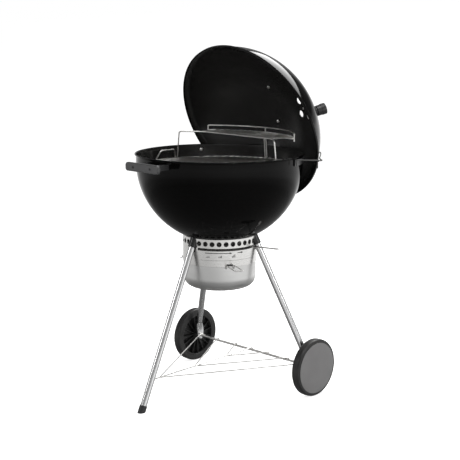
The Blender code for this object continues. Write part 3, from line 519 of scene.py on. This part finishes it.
def build_lid():
    roll = 0.0018
    rim = bead(LID_RIM_R - roll, 0.0018, roll, 200, 360, 10)
    rim += [(LID_RIM_R, 0.0098), (LID_RIM_R - 0.0012, 0.0116), (LID_RIM_R - 0.0036, 0.0132)]
    outer = rim + dome_curve(0)
    inner = list(reversed(dome_curve(-SKIN)))
    lip = [(LID_RIM_R - 0.0052, 0.0116), (LID_RIM_R - 0.0024, 0.0096),
           (LID_RIM_R - 0.0020, 0.0030)]
    profile = list(reversed(outer)) + list(reversed(lip)) + list(reversed(inner))
    slots = [0] * (len(outer)) + [1] * (len(lip) + len(inner))
    lid = piece("lid_enamel", lathe(profile, 160, slots=slots), "enamel enamel_inside", "lid",
                "lid_shell", LID, sharp=50)
    tools = bmesh.new()
    frame = dome_frame(*DAMPER_AT)
    for k in range(4):
        turn = damper_hole(k)
        lathe([(0, -0.02), (0.0128, -0.02), (0.0128, 0.02), (0, 0.02)], 32, tools, frame @ turn)
    for spot, r in ((DAMPER_AT, 0.0035), (GAUGE_AT, 0.0046), (HANDLE_BOLTS[0], 0.0035),
                    (HANDLE_BOLTS[1], 0.0035)):
        lathe([(0, -0.02), (r, -0.02), (r, 0.02), (0, 0.02)], 20, tools, dome_frame(*spot))
    cut(lid, tools, LID, sharp=50)


def build_lid_handle():
    mid = (Vector(HANDLE_BOLTS[0]) + Vector(HANDLE_BOLTS[1])) / 2
    frame = dome_frame(mid.x, mid.y)
    path = [frame @ Vector(p) for p in bent(
        [(0, -0.066, -0.010), (0, -0.066, 0.030), (0, -0.046, 0.0478), (0, 0.046, 0.0478),
         (0, 0.066, 0.030), (0, 0.066, -0.010)], 0.016, 8)]
    grip = piece("lid_grip", sweep(path, rounded(0.0235, 0.0176, 0.0062, 5)), "plastic", "lid",
                 "lid_handle", LID, sharp=60)
    cut(grip, lathe([(0, -0.02), (LID_R, -0.02)] + dome_curve(0.0003), 96), LID)
    for name, spot in zip(("upper", "lower"), HANDLE_BOLTS):
        seat = -SKIN - 0.0014
        bolt = lathe([(0, seat - 0.0042), (0.0024, seat - 0.0041), (0.0046, seat - 0.0035),
                      (0.0060, seat - 0.0024), (0.0068, seat - 0.0008), (0.0068, seat),
                      (0.0030, seat), (0.0030, -0.0013), (0, -0.0013)], 28)
        piece("grip_bolt_" + name, bolt, "plain_steel", "lid", "lid_bolt_" + name,
              LID @ dome_frame(*spot))


def build_damper():
    def under(r):
        return 0.0009 - r * r / 0.84

    count = 10
    low = [(r, under(r)) for r in (0.003 + 0.0486 * k / count for k in range(count + 1))]
    high = [(r, z + 0.0012) for r, z in reversed(low) if r > 0.0068]
    profile = [(0, -0.0052), (0.0034, -0.0050), (0.0050, -0.0042), (0.0050, -0.0032),
               (0.0030, -0.0032)] + low + [(0.0521, under(0.0521) + 0.0006)] + high
    profile += [(0.0068, under(0.0068) + 0.0012), (0.0060, 0.0032), (0.0034, 0.0043), (0, 0.0046)]
    frame = dome_frame(*DAMPER_AT)
    disc = piece("damper_disc", lathe(profile, 64), "pan_aluminium", "damper", "lid_damper",
                 LID @ frame)
    tools = bmesh.new()
    for k in range(4):
        turn = damper_hole(k)
        lathe([(0, -0.02), (0.0122, -0.02), (0.0122, 0.02), (0, 0.02)], 32, tools, turn)
    cut(disc, tools, LID @ frame)
    tab = sweep(bent([(0.0430, 0, -0.0010), (0.0472, 0, -0.0012), (0.0476, 0, 0.0143)], 0.002),
                rounded(0.0150, 0.0011, 0.0005, 2))
    piece("damper_tab", tab, "pan_aluminium", "damper", matrix=LID @ frame
          @ Matrix.Rotation(math.radians(-90), 4, "Z"), sharp=50)


def build_gauge():
    frame = LID @ dome_frame(*GAUGE_AT)
    profile = [(0, -0.0130), (0.0030, -0.0120), (0.0030, -0.0050), (0.0040, -0.0045),
               (0.0040, 0.0008), (0.0132, 0.0008), (0.0140, 0.0016), (0.0140, 0.0150),
               (0.0150, 0.0158), (0.0178, 0.0160), (0.0183, 0.0166), (0.0183, 0.0306),
               (0.0192, 0.0316), (0.0197, 0.0326), (0.0197, 0.0466), (0.0189, 0.0477),
               (0.0170, 0.0477), (0.0164, 0.0466), (0.0162, 0.0452), (0, 0.0452)]
    piece("gauge_body", lathe(profile, 48), "plastic", "lid", "lid_gauge", frame, sharp=50)
    piece("gauge_face", lathe([(0, 0.0453), (0.0158, 0.0453), (0.0158, 0.0455), (0, 0.0455)], 40),
          "dial", "lid", matrix=frame)
    marks = bmesh.new()
    for k in range(9):                              # plain scale marks and a pointer
        turn = Matrix.Rotation(math.radians(150 - 30 * k - 30), 4, "Z")
        block((0.0118, -0.0005, 0.0455), (0.0148, 0.0005, 0.0457), marks, turn)
    block((-0.004, -0.0006, 0.0457), (0.0105, 0.0006, 0.0460), marks,
          Matrix.Rotation(math.radians(200), 4, "Z"))
    piece("gauge_marks", marks, "mark", "lid", matrix=frame)


# ---------------------------------------------------------------- vent ring, pan, lever
def leg_point(azimuth, z):
    return polar(0.1327 + (0.5150 - z) * 0.45, azimuth, z)


def build_ring():
    t = 0.0012
    r = RING_R
    profile = [(r, RING_TOP), (r, RING_LOW + 0.0006), (r - 0.0004, RING_LOW),
               (r - t, RING_LOW + 0.0002), (r - t, RING_TOP)]
    ring = piece("ring_band", lathe(profile, 144), "steel", "stand", "vent_ring")
    tools = bmesh.new()
    for sector in OPENINGS:
        for k in range(10):
            az = sector + 10.7 * (k - 4.5)
            rod(polar(0.118, az, HOLE_Z), polar(0.134, az, HOLE_Z), HOLE_R, 20, tools)
    half = SLOT_H / 2
    sweep(arc(r, 9.5, 110.0, SLOT_Z, 50), [(0.008, half), (-0.008, half), (-0.008, -half),
                                           (0.008, -half)], tools)
    for az, _ in LEGS:
        rod(leg_point(az, 0.480), leg_point(az, 0.570), SOCKET_R + 0.0008, 32, tools)
    cut(ring, tools)
    path = bent([polar(r + 0.0022, CATCH_AZ, 0.4700), polar(r + 0.0022, CATCH_AZ, 0.4610),
                 polar(r + 0.0125, CATCH_AZ, 0.4600)], 0.004)
    piece("catch_wire", wire(path, 0.0018), "wire", "stand", "pan_catch")
    marks = bmesh.new()

    def patch(az0, az1, z0, z1, w0=1.0, w1=1.0, steps=14):
        """Thin printed mark on the band: its height runs from w0 to w1 of z0..z1."""
        mid, tall = (z0 + z1) / 2, (z1 - z0) / 2
        rows = []
        for k in range(steps + 1):
            f = k / steps
            h = tall * (w0 + (w1 - w0) * f)
            az = az0 + (az1 - az0) * f
            corners = ((0.0001, -1), (0.0001, 1), (-0.0001, 1), (-0.0001, -1))
            rows.append([marks.verts.new(polar(r + out, az, mid + s * h)) for out, s in corners])
        for a, b in zip(rows, rows[1:]):
            for i in range(4):
                marks.faces.new([a[i], a[(i + 1) % 4], b[(i + 1) % 4], b[i]])
        marks.faces.new(rows[0])
        marks.faces.new(rows[-1])

    for start, neck, end in ((22.0, 60.0, 64.0), (73.0, 79.0, 83.0)):
        patch(start, neck, MARK_LOW, MARK_HIGH)     # plain line that ends in a wedge
        patch(neck, end, TIP_LOW, TIP_HIGH, 1.0, 0.1, 4)
    for az, tall in ((26.0, 0.0050), (45.0, 0.0080), (66.0, 0.0105)):   # three bars, low to high
        for j in range(3):
            high = tall * (0.55 + 0.45 * j / 2)
            patch(az + 1.9 * j - 1.9, az + 1.9 * j - 0.8, BARS_Z, BARS_Z + high, steps=2)
    patch(14.0, 104.0, 0.4772, 0.4779, steps=60)
    piece("ring_marks", marks, "mark", "stand")


def build_pan():
    t = 0.0012
    base = [(0.0, 0.0), (0.060, 0.0), (0.084, 0.0006), (0.096, 0.0026), (0.106, 0.0066),
            (0.1138, 0.0126), (0.1188, 0.0195), (0.1217, 0.0280), (0.1234, 0.0370),
            (PAN_R, 0.0450)]
    shape = smooth([(r, 0, z) for r, z in base], 4)
    outer = [(max(p.x, 0.0), PAN_LOW + max(p.z, 0.0)) for p in shape]
    profile = outer + [(PAN_R, PAN_TOP - 0.0006), (PAN_R - t / 2, PAN_TOP), (PAN_R - t, PAN_TOP)]
    profile += [(max(r - t * (r > 0), 0.0), z + t) for r, z in reversed(outer)]
    piece("pan_shell", lathe(profile, 128), "pan_aluminium", "pan", "ash_pan", sharp=50)
    turn = GRILL @ Matrix.Rotation(math.radians(PAN_HANDLE_AZ - 90), 4, "Z")
    arm = [(PAN_R + 0.0024, 0.4515), (0.1315, 0.4515), (0.1345, 0.4625), (0.2380, 0.4665)]
    path = [(x, -0.0135, z) for x, z in arm] + [(x, 0.0135, z) for x, z in reversed(arm)]
    piece("pan_wire", wire(bent(path, 0.006), 0.0018), "wire", "pan", "pan_handle", turn)
    piece("pan_button", block((0.1275, -0.0114, 0.4595), (0.1345, 0.0114, 0.4635)), "plastic",
          "pan", "pan_clip", turn, bevel=0.0014)


def build_lever():
    turn = GRILL @ Matrix.Translation((0, 0, SLOT_Z)) @ Matrix.Rotation(
        math.radians(LEVER_AZ - 90), 4, "Z")
    outline = [(0.0120 * math.cos(a), 0.0120 * math.sin(a)) for a in
               (math.radians(60 + 240 * k / 16) for k in range(17))]
    outline += [(0.190, -0.0070)]
    outline += [(0.2190 + 0.0085 * math.cos(a), 0.0085 * math.sin(a)) for a in
                (math.radians(-90 + 180 * k / 12) for k in range(13))]
    outline += [(0.190, 0.0070)]
    bm = bmesh.new()
    face = bm.faces.new([bm.verts.new((x, y, -0.0010)) for x, y in outline])
    out = bmesh.ops.extrude_face_region(bm, geom=[face])
    bmesh.ops.translate(bm, vec=(0, 0, 0.0020),
                        verts=[v for v in out["geom"] if isinstance(v, bmesh.types.BMVert)])
    piece("lever_strap", bm, "plain_steel", "vent", "vent_lever", turn, bevel=0.0004)
    floor = BOWL_BELT - BOWL_DEPTH + SKIN
    hub = lathe([(0, SLOT_Z + 0.0013), (0.0060, SLOT_Z + 0.0013), (0.0060, floor + 0.0012),
                 (0.0170, floor + 0.0012), (0.0175, floor + 0.0017), (0.0175, floor + 0.0028),
                 (0.0165, floor + 0.0034), (0.0060, floor + 0.0052), (0.0030, floor + 0.0056),
                 (0, floor + 0.0056)], 40)
    piece("spindle", hub, "plain_steel", "vent", "vent_spindle")


# ---------------------------------------------------------------- stand
def build_legs():
    for az, side in LEGS:
        foot = leg_point(az, 0.0088 if az == 0 else 0.1580)
        head = leg_point(az, 0.5600)
        length = (head - foot).length
        tube = lathe([(LEG_R, 0.0006), (LEG_R, length), (LEG_R - 0.0012, length),
                      (LEG_R - 0.0012, 0), (LEG_R - 0.0005, 0)], 40)
        leg = piece("tube_" + side, tube, "leg_aluminium", "stand", "leg_" + side,
                    GRILL @ along(foot, head), own=True)
        cut(leg, bowl_plug())
        low = leg_point(az, 0.5170)
        length = (leg_point(az, 0.5620) - low).length
        inside = LEG_R + 0.0004
        sock = lathe([(SOCKET_R - 0.0010, 0), (SOCKET_R - 0.0002, 0.0008), (SOCKET_R, 0.0022),
                      (SOCKET_R, length), (inside, length), (inside, 0)], 40)
        sock = piece("socket_" + side, sock, "black_metal", "stand", "leg_socket_" + side,
                     GRILL @ along(low, leg_point(az, 0.5620)))
        cut(sock, bowl_plug())
        out = polar(1, az, 0)
        at = leg_point(az, 0.5265) + out * (SOCKET_R * 0.91)
        pin = lathe([(0, -0.003), (0.0026, -0.003), (0.0026, 0.0006), (0.0018, 0.0013),
                     (0, 0.0016)], 20)
        piece("socket_pin_" + side, pin, "plain_steel", "stand",
              matrix=GRILL @ along(at, at + out + Vector((0, 0, 0.4))))
    down, up = leg_point(0, -0.015), leg_point(0, 0.0215)
    length = (up - down).length
    cap = lathe([(0, 0), (0.0127, 0), (0.0127, length - 0.0016), (0.0122, length - 0.0004),
                 (LEG_R + 0.0007, length), (LEG_R + 0.0003, length - 0.0030),
                 (LEG_R + 0.0003, 0.0270), (0, 0.0270)], 40)
    cap = piece("foot", cap, "plastic", "stand", "foot_cap", GRILL @ along(down, up))
    cut(cap, block((-0.05, -0.45, -0.05), (0.05, -0.30, 0.0)))


SHOE = (                                            # x, y, z, half width, half thickness
    (0.2583, 0.1508, 0.1490, 0.0132, 0.0088), (0.2605, 0.1545, 0.1380, 0.0158, 0.0062),
    (0.2618, 0.1580, 0.1240, 0.0162, 0.0048), (0.2620, 0.1599, 0.1080, 0.0148, 0.0045),
    (0.2620, 0.1599, 0.0960, 0.0130, 0.0045), (0.2620, 0.1599, 0.0890, 0.0095, 0.0045),
    (0.2620, 0.1599, 0.0862, 0.0045, 0.0045))


def build_shoes():
    for side, az, name in ((1, 120, "right"), (-1, 240, "left")):
        top = leg_point(az, 0.1577)
        down = (leg_point(az, 0.15) - leg_point(az, 0.16)).normalized()
        out = Vector((side, 0, 0))
        out = (out - down * out.dot(down)).normalized()
        wide = down.cross(out)
        turns = [math.radians(15 * k) for k in range(24)]
        rings = [[top + wide * 0.0110 * math.cos(t) + out * 0.0110 * math.sin(t) for t in turns]]
        flip = 1 if wide.y > 0 else -1
        rings += [[Vector((side * (x + thin * math.sin(t)), y + flip * half * math.cos(t), z))
                   for t in turns] for x, y, z, half, thin in SHOE]
        columns = [smooth([ring[k] for ring in rings], 4) for k in range(24)]
        bm = bmesh.new()
        rows = [[bm.verts.new(c[i]) for c in columns] for i in range(len(columns[0]))]
        for a, b in zip(rows, rows[1:]):
            for k in range(24):
                bm.faces.new([a[k], a[(k + 1) % 24], b[(k + 1) % 24], b[k]])
        bm.faces.new(rows[0])
        bm.faces.new(rows[-1])
        shoe = piece("shoe_" + name, bm, "leg_aluminium", "stand", "axle_bracket_" + name,
                     sharp=60)
        cut(shoe, rod((side * 0.250, WHEEL_Y, WHEEL_R), (side * 0.272, WHEEL_Y, WHEEL_R), 0.0043,
                      24), sharp=50)
    pin = lathe([(0, -0.3000), (0.0034, -0.3000), (0.0040, -0.2994), (0.0040, 0.2994),
                 (0.0034, 0.3000), (0, 0.3000)], 32)
    piece("axle_rod", pin, "wire", "stand", "axle", GRILL @ Matrix.Translation(
        (0, WHEEL_Y, WHEEL_R)) @ Matrix.Rotation(math.radians(90), 4, "Y"))


def build_wheels():
    for side in (-1, 1):
        name = "right" if side > 0 else "left"
        body = name + "_wheel"
        turn = GRILL @ Matrix.Translation((side * WHEEL_X, WHEEL_Y, WHEEL_R)) @ Matrix.Rotation(
            math.radians(90 * side), 4, "Y")
        base = [(0.0930, -0.0154), (0.0962, -0.0140), (0.0980, -0.0112), (WHEEL_R, -0.0075),
                (WHEEL_R, 0.0064), (0.0980, 0.0100), (0.0962, 0.0128), (0.0930, 0.0142)]
        tread = [(p.x, p.z) for p in smooth([(r, 0, z) for r, z in base], 3)]
        tyre = lathe([(0.0786, -0.0150), (0.0790, -0.0154)] + tread + [(0.0878, 0.0142),
                     (0.0786, 0.0142)], 144)
        piece("tread_" + name, tyre, "tyre", body, "tyre_" + name, turn, sharp=40)
        core = lathe([(0.0043, -0.0215), (0.0140, -0.0215), (0.0150, -0.0207), (0.0165, 0.0010),
                      (0.0720, 0.0030), (0.0735, -0.0142), (0.0743, -0.0150), (0.0774, -0.0150),
                      (0.0780, -0.0143), (0.0780, 0.0140), (0.0735, 0.0140), (0.0720, 0.0060),
                      (0.0150, 0.0055), (0.0043, 0.0055)], 96)
        for k in range(15):
            block((0.0155, -0.0007, -0.0120), (0.0745, 0.0007, 0.0035), core,
                  Matrix.Rotation(math.radians(24 * k + 9), 4, "Z"))
        piece("core_" + name, core, "wheel", body, "wheel_" + name, turn, sharp=30)
        cap = lathe([(0, 0.0146), (0.0870, 0.0146), (0.0873, 0.0150), (0.0868, 0.0160),
                     (0.0856, 0.0166), (0.0700, 0.0173), (0.0400, 0.0178), (0, 0.0180)], 128)
        piece("disc_" + name, cap, "hubcap", body, "hubcap_" + name, turn, sharp=25)


def build_brace():
    y0, y1, front, rear = -0.2900, WHEEL_Y, 0.1000, 0.1056

    def at(x, y):
        return Vector((x, y, front + (rear - front) * (y - y0) / (y1 - y0)))

    def hooked(x):
        return [(x, y1 + 0.0052, rear - 0.0006), (x, y1 + 0.0074, rear - 0.0060)]

    bm = wire(bent([at(0, -0.3052), at(0, y1)] + hooked(0), 0.004, 3), 0.0020)
    for side in (-1, 1):
        for apex, (x, y) in ((-0.2830, (0.2500, 0.1440)), (-0.1222, (0.1721, y1)),
                             (0.0324, (0.0782, y1))):
            path = [at(0, apex), at(side * x, y)]
            if y < y1:
                path.append(at(side * (x + 0.0015), y1))
            wire(bent(path + hooked(side * (x + (0.0015 if y < y1 else 0))), 0.004, 3), 0.0020, bm)
    piece("brace_wires", bm, "wire", "stand", "leg_brace")


HOOP = (                                            # degrees from the back, radius, height
    (0, 0.3540, 0.8200), (12, 0.3534, 0.8200), (24, 0.3510, 0.8200), (34, 0.3473, 0.8200),
    (43, 0.3425, 0.8200), (50, 0.3395, 0.8190), (56, 0.3385, 0.8155), (60, 0.3415, 0.8130),
    (63, 0.3495, 0.8120), (65.5, 0.3560, 0.8117), (67.6, 0.3545, 0.8122), (69.0, 0.3450, 0.8133),
    (74, 0.2935, 0.8145), (74.6, 0.2885, 0.8110), (74.6, 0.2885, 0.7960))


def build_holder():
    right = [polar(r, 180 - a, z) for a, r, z in HOOP]
    left = [polar(r, 180 + a, z) for a, r, z in HOOP[1:]]
    bm = wire(smooth(list(reversed(left)) + right, 4), 0.0022)
    for side in (-1, 1):
        az = 180 - side * 68.6
        wire(bent([polar(0.3510, 180 - side * 68.2, 0.8124), polar(0.3470, az, 0.8085),
                   polar(0.3470, az, 0.7870)], 0.003), 0.0021, bm)
    # The hoop gets the darkened copy of plated wire, i.e. painted shade
    piece("hoop_wires", bm, "plated_wire_painted_shade", "stand", "lid_holder")
    for side, name in ((1, "right"), (-1, "left")):
        path = arc(BOWL_R + 0.0017, 180 - side * 54, 180 - side * 76, 0.8050, 24)
        strap = piece("hoop_strap_" + name, sweep(path, rounded(0.0024, 0.0210, 0.0009, 2)),
                      "black_metal", "stand", "holder_bracket_" + name, sharp=50)
        az = 180 - side * HOLDER_BOLT_AZ
        cut(strap, rod(polar(0.275, az, HOLDER_BOLT_Z), polar(0.300, az, HOLDER_BOLT_Z),
                       0.0035, 20))
        seat = BOWL_R - SKIN - 0.0014
        bolt = lathe([(0, 0), (0.0028, 0.0002), (0.0050, 0.0009), (0.0066, 0.0022),
                      (0.0072, 0.0036), (0.0072, 0.0042), (0.0030, 0.0042), (0.0030, 0.0100),
                      (0, 0.0100)], 28)
        head = polar(seat - 0.0042, az, HOLDER_BOLT_Z)
        piece("hoop_bolt_" + name, bolt, "plain_steel", "stand", "holder_bolt_" + name,
              GRILL @ along(head, head + polar(1, az, 0)))


# ---------------------------------------------------------------- grates and rack
def build_grates():
    at = GRILL @ Matrix.Translation((0, 0, GRATE_Z))
    bm = wire(arc(GRATE_R, 0, 360 - 3, 0, 119), 0.0029, closed=True)
    for k in range(-12, 13):
        x = 0.0208 * k
        y = math.sqrt(GRATE_R ** 2 - x ** 2) - 0.0004
        rod((x, -y, 0.0003), (x, y, 0.0003), 0.0019, 12, bm)
    for y in (-0.128, 0.128):
        x = math.sqrt(GRATE_R ** 2 - y ** 2) + 0.0002
        rod((-x, y, -0.0034), (x, y, -0.0034), 0.0022, 12, bm)
    for s in (-1, 1):
        wire(bent([(s * 0.2687, -0.0455, -0.0006), (s * 0.2684, -0.0450, 0.0060),
                   (s * 0.2580, -0.0330, 0.0330), (s * 0.2580, 0.0330, 0.0330),
                   (s * 0.2684, 0.0450, 0.0060), (s * 0.2687, 0.0455, -0.0006)], 0.008),
             0.0025, bm)
    piece("grate_rods", bm, "wire", "cooking", "cooking_grate", at)
    at = GRILL @ Matrix.Translation((0, 0, COAL_Z))
    bm = wire(arc(COAL_R, 0, 360 - 4, 0, 89), 0.0029, closed=True)
    for k in range(-5, 6):
        x = 0.0380 * k
        y = math.sqrt(COAL_R ** 2 - x ** 2) - 0.0005
        rod((x, -y, 0.0004), (x, y, 0.0004), 0.0024, 12, bm)
    for y in (-0.090, 0.090):
        x = math.sqrt(COAL_R ** 2 - y ** 2)
        rod((-x, y, -0.0038), (x, y, -0.0038), 0.0024, 12, bm)
    piece("coal_rods", bm, "iron", "charcoal", "charcoal_grate", at)


def rack_arc(half, z, count):
    return [Vector((RACK_BACK * math.sin(a), RACK_CENTRE + RACK_BACK * math.cos(a), z))
            for a in (math.radians(-half + 2 * half * k / count) for k in range(count + 1))]


def build_rack():
    tip = math.degrees(math.acos((RACK_CHORD - RACK_CENTRE) / RACK_BACK))
    back = rack_arc(tip - 3, 0, 60)
    outline = list(back)
    corner = Vector((RACK_BACK * math.sin(math.radians(tip)), RACK_CHORD, 0))
    for mirror in (1, -1):
        flip = Vector((mirror, 1, 1))
        ends = [back[-1], corner, corner - Vector((0.030, 0, 0))]
        turn_in = [ends[0] * (1 - t) ** 2 + ends[1] * 2 * t * (1 - t) + ends[2] * t ** 2
                   for t in (k / 10 for k in range(1, 11))]
        outline += [p * flip for p in (turn_in if mirror > 0 else reversed(turn_in))]
    at = GRILL @ Matrix.Translation((0, 0, RACK_Z)) @ Matrix.Rotation(RACK_TURN, 4, "Z")
    bm = wire(outline, 0.0023, closed=True)
    rest = GRATE_Z + 0.0059 - RACK_Z
    for k in range(-9, 10):
        x = 0.0205 * k
        y = RACK_CENTRE + math.sqrt(RACK_BACK ** 2 - x ** 2) - 0.0006
        rod((x, RACK_FRONT - 0.0008, 0.0012), (x, y, 0.0008), 0.0015, 10, bm)
    wire(bent([(-0.2525, 0.0220, rest), (-0.2415, 0.0220, -0.0020), (-0.2335, 0.0270, 0.0),
               (-0.1850, RACK_FRONT - 0.0080, 0.0), (-0.1600, RACK_FRONT, 0.0),
               (0.1600, RACK_FRONT, 0.0), (0.1850, RACK_FRONT - 0.0080, 0.0),
               (0.2335, 0.0270, 0.0), (0.2415, 0.0220, -0.0020), (0.2525, 0.0220, rest)], 0.006),
         0.0024, bm)
    for s in (-1, 1):
        rod((s * 0.1700, RACK_FRONT - 0.0040, 0.0006), (s * 0.1850, RACK_CHORD, 0.0006), 0.0018,
            10, bm)
    rear = RACK_CENTRE + RACK_BACK
    wire(bent([(LEG_X - 0.0045, rear - 0.0030, 0.0006), (FOOT_X - 0.0045, rear, rest + 0.0026),
               (FOOT_X + 0.0045, rear, rest + 0.0026), (LEG_X + 0.0045, rear - 0.0030, 0.0006)],
              0.004), 0.0023, bm)
    rail = rack_arc(tip - 1.5, 0.0165, 48)
    drop = Vector((0, 0, 0.0260))
    wire(bent([rail[0] - drop, rail[0], rail[1]], 0.004)[:-1] + rail[1:-1]
         + bent([rail[-2], rail[-1], rail[-1] - drop], 0.004)[1:], 0.0021, bm)
    rod((LEG_X, rear, -0.0010), (LEG_X, rear, 0.0160), 0.0021, 12, bm)
    piece("rack_wires", bm, "wire", "rack", "warming_rack", at)


# ---------------------------------------------------------------- stage
def build_stage():
    bm = bmesh.new()
    bmesh.ops.create_circle(bm, cap_ends=True, segments=96, radius=14.0)
    floor = piece("floor", bm, "", None, matrix=Matrix())
    mat = Mat("floor", (0.80, 0.80, 0.80), 0.8, Specular_IOR_Level=0.1, Emission_Strength=0.75)
    mat.shader.inputs["Emission Color"].default_value = (1, 1, 1, 1)
    mat.tint(mat.noise(3, 3), (0.79, 0.79, 0.79), (0.81, 0.81, 0.81))
    floor.data.materials.append(mat.mat)
    floor.visible_glossy = False

    # Studio surround: a bright band at and below the horizon, less than half as bright above it,
    # dim underneath and weaker on the left, with a dark patch behind the grill just above the
    # horizon. The camera sees it as plain white.
    world = bpy.data.worlds.new("studio")
    bpy.context.scene.world = world
    world.use_nodes = True
    nodes, links = world.node_tree.nodes, world.node_tree.links

    def math_node(kind, a, b):
        n = nodes.new("ShaderNodeMath")
        n.operation = kind
        for socket, value in zip(n.inputs, (a, b)):
            if isinstance(value, bpy.types.NodeSocket):
                links.new(value, socket)
            else:
                socket.default_value = value
        return n.outputs[0]

    coord = nodes.new("ShaderNodeTexCoord").outputs["Generated"]
    split = nodes.new("ShaderNodeSeparateXYZ")
    links.new(coord, split.inputs[0])
    ramp = nodes.new("ShaderNodeValToRGB")
    ramp.color_ramp.interpolation = "EASE"
    stops = ((0.0, 0.24), (0.275, 0.30), (0.33, 0.55), (0.385, 1.15), (0.44, 1.4), (0.50, 1.3),
             (0.535, 0.60), (0.565, 0.45), (0.75, 0.45), (1.0, 0.50))
    while len(ramp.color_ramp.elements) < len(stops):
        ramp.color_ramp.elements.new(0.5)
    for element, (place, value) in zip(ramp.color_ramp.elements, stops):
        element.position, element.color = place, (value, value, value, 1)
    links.new(math_node("ADD", math_node("MULTIPLY", split.outputs[2], 0.5), 0.5),
              ramp.inputs[0])
    dot = nodes.new("ShaderNodeVectorMath")
    dot.operation = "DOT_PRODUCT"
    dot.inputs[1].default_value = (0.716, 0.698, 0.0)
    links.new(coord, dot.inputs[0])
    side = nodes.new("ShaderNodeMapRange")
    for key, value in (("From Min", -0.6), ("From Max", 0.4), ("To Min", 0.62), ("To Max", 1.0)):
        side.inputs[key].default_value = value
    links.new(dot.outputs["Value"], side.inputs["Value"])
    studio = math_node("MULTIPLY", ramp.outputs[0], side.outputs[0])
    rear = nodes.new("ShaderNodeVectorMath")
    rear.operation = "DOT_PRODUCT"
    rear.inputs[1].default_value = (-0.039, 0.969, 0.242)
    links.new(coord, rear.inputs[0])
    near = math_node("MULTIPLY", math_node("SUBTRACT", rear.outputs["Value"], 0.90), 14.0)
    high = math_node("MULTIPLY", math_node("SUBTRACT", split.outputs[2], 0.11), 20.0)
    patch = math_node("MAXIMUM", math_node("MINIMUM", math_node("MINIMUM", near, high), 1.0), 0.0)
    studio = math_node("MULTIPLY", studio, math_node("SUBTRACT", 1.0, math_node(
        "MULTIPLY", patch, 0.75)))
    seen = nodes.new("ShaderNodeLightPath").outputs["Is Camera Ray"]
    links.new(math_node("MAXIMUM", studio, seen), nodes["Background"].inputs["Strength"])
    nodes["Background"].inputs["Color"].default_value = (1, 1, 1, 1)

    def lamp(name, at, target, size, power, height=None):
        light = bpy.data.lights.new(name, "AREA")
        light.energy, light.size = power, size
        if height:
            light.shape, light.size_y = "RECTANGLE", height
        obj = bpy.data.objects.new(name, light)
        bpy.context.collection.objects.link(obj)
        obj.location = at
        obj.rotation_euler = (Vector(target) - Vector(at)).to_track_quat("-Z", "Y").to_euler()

    lamp("top", (0.6, -0.9, 3.4), (0, 0, 0.7), 2.0, 55)
    lamp("back", (-0.17, 2.52, 3.01), (0, 0.3, 1.0), 3.0, 120, 1.6)
    lamp("left", (-1.2, -3.2, 1.9), (0, 0, 0.7), 0.9, 18, 1.2)
    lamp("right", (3.2, 0.6, 1.8), (0, 0, 0.7), 0.8, 22, 1.2)


def build_camera():
    cam = bpy.data.cameras.new("camera")
    cam.lens, cam.sensor_width = 82.95, 36.0
    obj = bpy.data.objects.new("camera", cam)
    bpy.context.collection.objects.link(obj)
    obj.location = (2.5094, -2.5217 + Y_SHIFT, 1.2297)
    obj.rotation_euler = (math.radians(90 - 10.6929), 0, math.radians(44.2914))
    bpy.context.scene.camera = obj


def main():
    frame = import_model()
    MATS.update(make_materials())
    build_camera()
    build_bowl()
    build_bowl_handle()
    build_lid()
    build_lid_handle()
    build_damper()
    build_gauge()
    build_ring()
    build_pan()
    build_lever()
    build_legs()
    build_shoes()
    build_wheels()
    build_brace()
    build_holder()
    build_grates()
    build_rack()
    for name, obj in frame["nodes"].items():        # hidden pieces keep their CAD shape
        if name.startswith(("vent_blade", "grate_step")):
            for slot in obj.material_slots:
                slot.material = MATS["plain_steel"]
    build_stage()
    bpy.context.scene.view_settings.view_transform = "Standard"


main()
